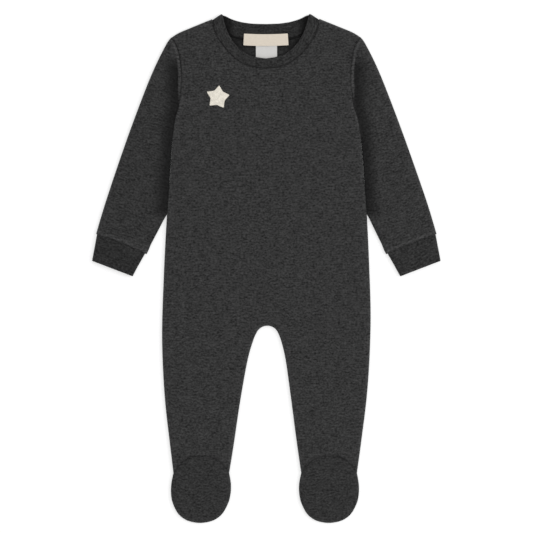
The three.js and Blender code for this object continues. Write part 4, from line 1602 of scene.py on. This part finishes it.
# %% Cut and lay the star
STAR_CENTRE = (-60.5, 214.4)
STAR_LEAN = -8.0
STAR_TIPS = [14.7, 15.1, 14.8, 15.2, 15.0]
STAR_NOTCHES = [8.8, 8.9, 9.8, 9.5, 9.2]
STAR_LIFT = 0.3
STAR_THICK = 0.95
STAR_DEPTHS = [0.08, 0.25, 0.5, 0.85, 1.3]
STAR_STEPS = [0.5, 0.5, 0.6, 0.7, 0.9]
STAR_THREAD = 0.2
STITCH_GAP = 1.05


def star_outline():
    """The star's edge, with each tip and notch slightly rounded."""
    corners = []
    for i in range(5):
        for radius, turn in ((STAR_TIPS[i], 0.0), (STAR_NOTCHES[i], 0.5)):
            angle = math.radians(90 + STAR_LEAN) + (i + turn) * 2 * math.pi / 5
            corners.append((radius * math.cos(angle), radius * math.sin(angle)))
    corners = np.array(corners)
    softened = []
    for before, corner, after in zip(np.roll(corners, 1, 0), corners, np.roll(corners, -1, 0)):
        start = corner + (before - corner) * 0.12
        end = corner + (after - corner) * 0.12
        for t in np.linspace(0, 1, 5):
            softened.append((1 - t) ** 2 * start + 2 * t * (1 - t) * corner + t * t * end)
    softened.append(softened[0])
    return np.array(softened) + STAR_CENTRE


def make_star():
    outline = star_outline()
    plan, faces, _ = cut_cloth([("edge", outline)], 0.9, 0.5, STAR_DEPTHS, STAR_STEPS)
    inside = distance_to(outline, plan)
    crown = STAR_THICK * (0.62 + 0.38 * (1 - np.exp(-inside / 0.7)))
    tufts = 0.05 * np.sin(plan[:, 0] * 2.9 + np.sin(plan[:, 1] * 2.1)) * np.sin(plan[:, 1] * 3.3)
    under = front_height(plan) + STAR_LIFT
    points = np.column_stack([plan, under + crown + tufts])
    piece = cloth_wall("star_felt", points, faces, {"cloth_place": grain(plan)}, STAR_FELT, 0.75, bulge=0.1)
    finish_piece(piece, "star")
    threads = star_stitches(outline)


def star_stitches(outline):
    """Small stitches square to the star's edge, from the cloth beside it up onto the star."""
    edge = spaced(outline, STITCH_GAP)[:-1]
    ahead = np.roll(edge, -1, 0) - np.roll(edge, 1, 0)
    ahead /= np.linalg.norm(ahead, axis=1)[:, None]
    inward = np.stack([-ahead[:, 1], ahead[:, 0]], 1)
    floor_level = front_height(edge)
    stitches = []
    for i, (place, turn) in enumerate(zip(edge, inward)):
        reach = 1.25 + 0.2 * math.sin(i * 2.3)
        outer = place - turn * 0.35
        inner = place + turn * reach
        base = floor_level[i] + STAR_LIFT
        stitches.append(((*outer, base + 0.05), (*inner, base + STAR_THICK - 0.06), 0.32))
    return sew("star_stitches", stitches, STAR_THREAD, CREAM_THREAD)


make_star()

# %% [markdown]
# ## Labels
# Two labels hang inside the back neck, both bare. The wide one is a cream ribbon, woven with fine ribs, and
# sewn down at its two ends, so it follows the neck seam in a slight curve. Behind it hangs a white satin
# one, which runs down inside the suit and out of sight behind the front neckband.

# %% Label finishes
def stripes(tree, along, per_metre):
    return math_node(tree, "SINE", math_node(tree, "MULTIPLY", along, per_metre * 2 * math.pi))


def ribbon(name, colour, ribs_per_metre, depth, roughness, sheen, flecks=0.05):
    """A woven ribbon: fine ribs across it, crossed by fainter ones along it."""
    material, tree, shader = new_material(name)
    place = mark_node(tree, "cloth_place").outputs["Vector"]
    parts = tree.nodes.new("ShaderNodeSeparateXYZ")
    tree.links.new(place, parts.inputs[0])
    weft = math_node(tree, "MULTIPLY", stripes(tree, parts.outputs["Y"], ribs_per_metre), 0.6)
    warp = math_node(tree, "MULTIPLY", stripes(tree, parts.outputs["X"], 0.65 * ribs_per_metre), 0.4)
    slubs = noise_node(tree, stretch_node(tree, place, (0.3, 1.0, 1.0)), 900.0, 2.0)
    dye(tree, shader, colour, range_node(tree, slubs, 0.25, 0.75, 1 - flecks, 1 + flecks))
    add_bump(tree, shader, math_node(tree, "ADD", weft, warp), 0.5, depth)
    set_surface(shader, roughness, 0.3, sheen)
    return material


LABEL_WEAVE = ribbon("cream label ribbon", (0.669, 0.599, 0.506), 2200.0, 0.08 * MM, 0.75, 0.05)
LABEL_SATIN = ribbon("white label satin", (0.596, 0.589, 0.573), 3600.0, 0.04 * MM, 0.42, 0.1, flecks=0.03)

# %% Cut and lay the labels
LABEL_THICK = 0.55
LABEL_DEPTHS = [0.1, 0.35, 0.8]
LABEL_STEPS = [1.0, 1.0, 1.2]
LABEL_THREAD = 0.17
END_STITCHES = {"count": 6, "gap": 2.4, "length": 1.7, "from_top": 1.1, "from_end": 1.7}


def neck_label_shape(flat):
    """Bends the flat label to the neck: its middle sinks a little, and its lower edge spreads."""
    x, y = flat.T
    half = NECK_LABEL["width"] / 2
    down = (NECK_LABEL["top"] - y) / (NECK_LABEL["top"] - NECK_LABEL["bottom"])
    bent_y = y - 0.9 * (1 - (x / half) ** 2) + 0.5
    bent_x = NECK_LABEL["x"] + x * (0.985 + 0.03 * down)
    level = NECK_LABEL["level"] + LABEL_THICK + NECK_LABEL["drop"] * down
    level = level + 0.35 * np.exp(-(((np.abs(x) - half * 0.55) / 9) ** 2)) * np.sin(math.pi * down)
    return np.stack([bent_x, bent_y, level], 1)


def care_label_shape(flat):
    x, y = flat.T
    level = CARE_LABEL["level"] + LABEL_THICK + 0.22 * (1 + np.sin(y / 4.1 + x / 9)) * between(y, 289, 277)
    return np.stack([x, y, level], 1)


def make_label(name, node, label, x, shape, material):
    """Cuts a label as a flat ribbon round this x, and shapes it as it hangs."""
    outline = label_outline(label, x)
    plan, faces, _ = cut_cloth([("edge", outline)], 1.5, 1.0, LABEL_DEPTHS, LABEL_STEPS)
    marks = {"cloth_place": grain(plan)}
    piece = cloth_wall(name, shape(plan), faces, marks, material, LABEL_THICK, bulge=0.05)
    finish_piece(piece, node)


def label_end_stitches():
    """A short row of stitches down each end of the neck label."""
    stitches = []
    half = NECK_LABEL["width"] / 2 - END_STITCHES["from_end"]
    for end in (-1, 1):
        for i in range(END_STITCHES["count"]):
            top = NECK_LABEL["top"] - END_STITCHES["from_top"] - i * END_STITCHES["gap"]
            pair = np.array([(end * half, top), (end * (half - 0.05), top - END_STITCHES["length"])])
            start, finish = neck_label_shape(pair) + (0, 0, 0.02)
            stitches.append((start, finish, 0.16))
    sew("neck_label_stitches", stitches, LABEL_THREAD, CREAM_THREAD)


make_label(
    "neck_label_ribbon",
    "neck_label",
    NECK_LABEL,
    0,
    neck_label_shape,
    LABEL_WEAVE,
)
label_end_stitches()
make_label(
    "care_label_satin",
    "care_label",
    CARE_LABEL,
    CARE_LABEL["x"],
    care_label_shape,
    LABEL_SATIN,
)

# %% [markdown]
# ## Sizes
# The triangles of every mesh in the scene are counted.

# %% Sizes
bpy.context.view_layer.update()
triangles = sum(len(p.vertices) - 2 for o in scene.objects if o.type == "MESH" for p in o.data.polygons)
print("triangles in all:", triangles)
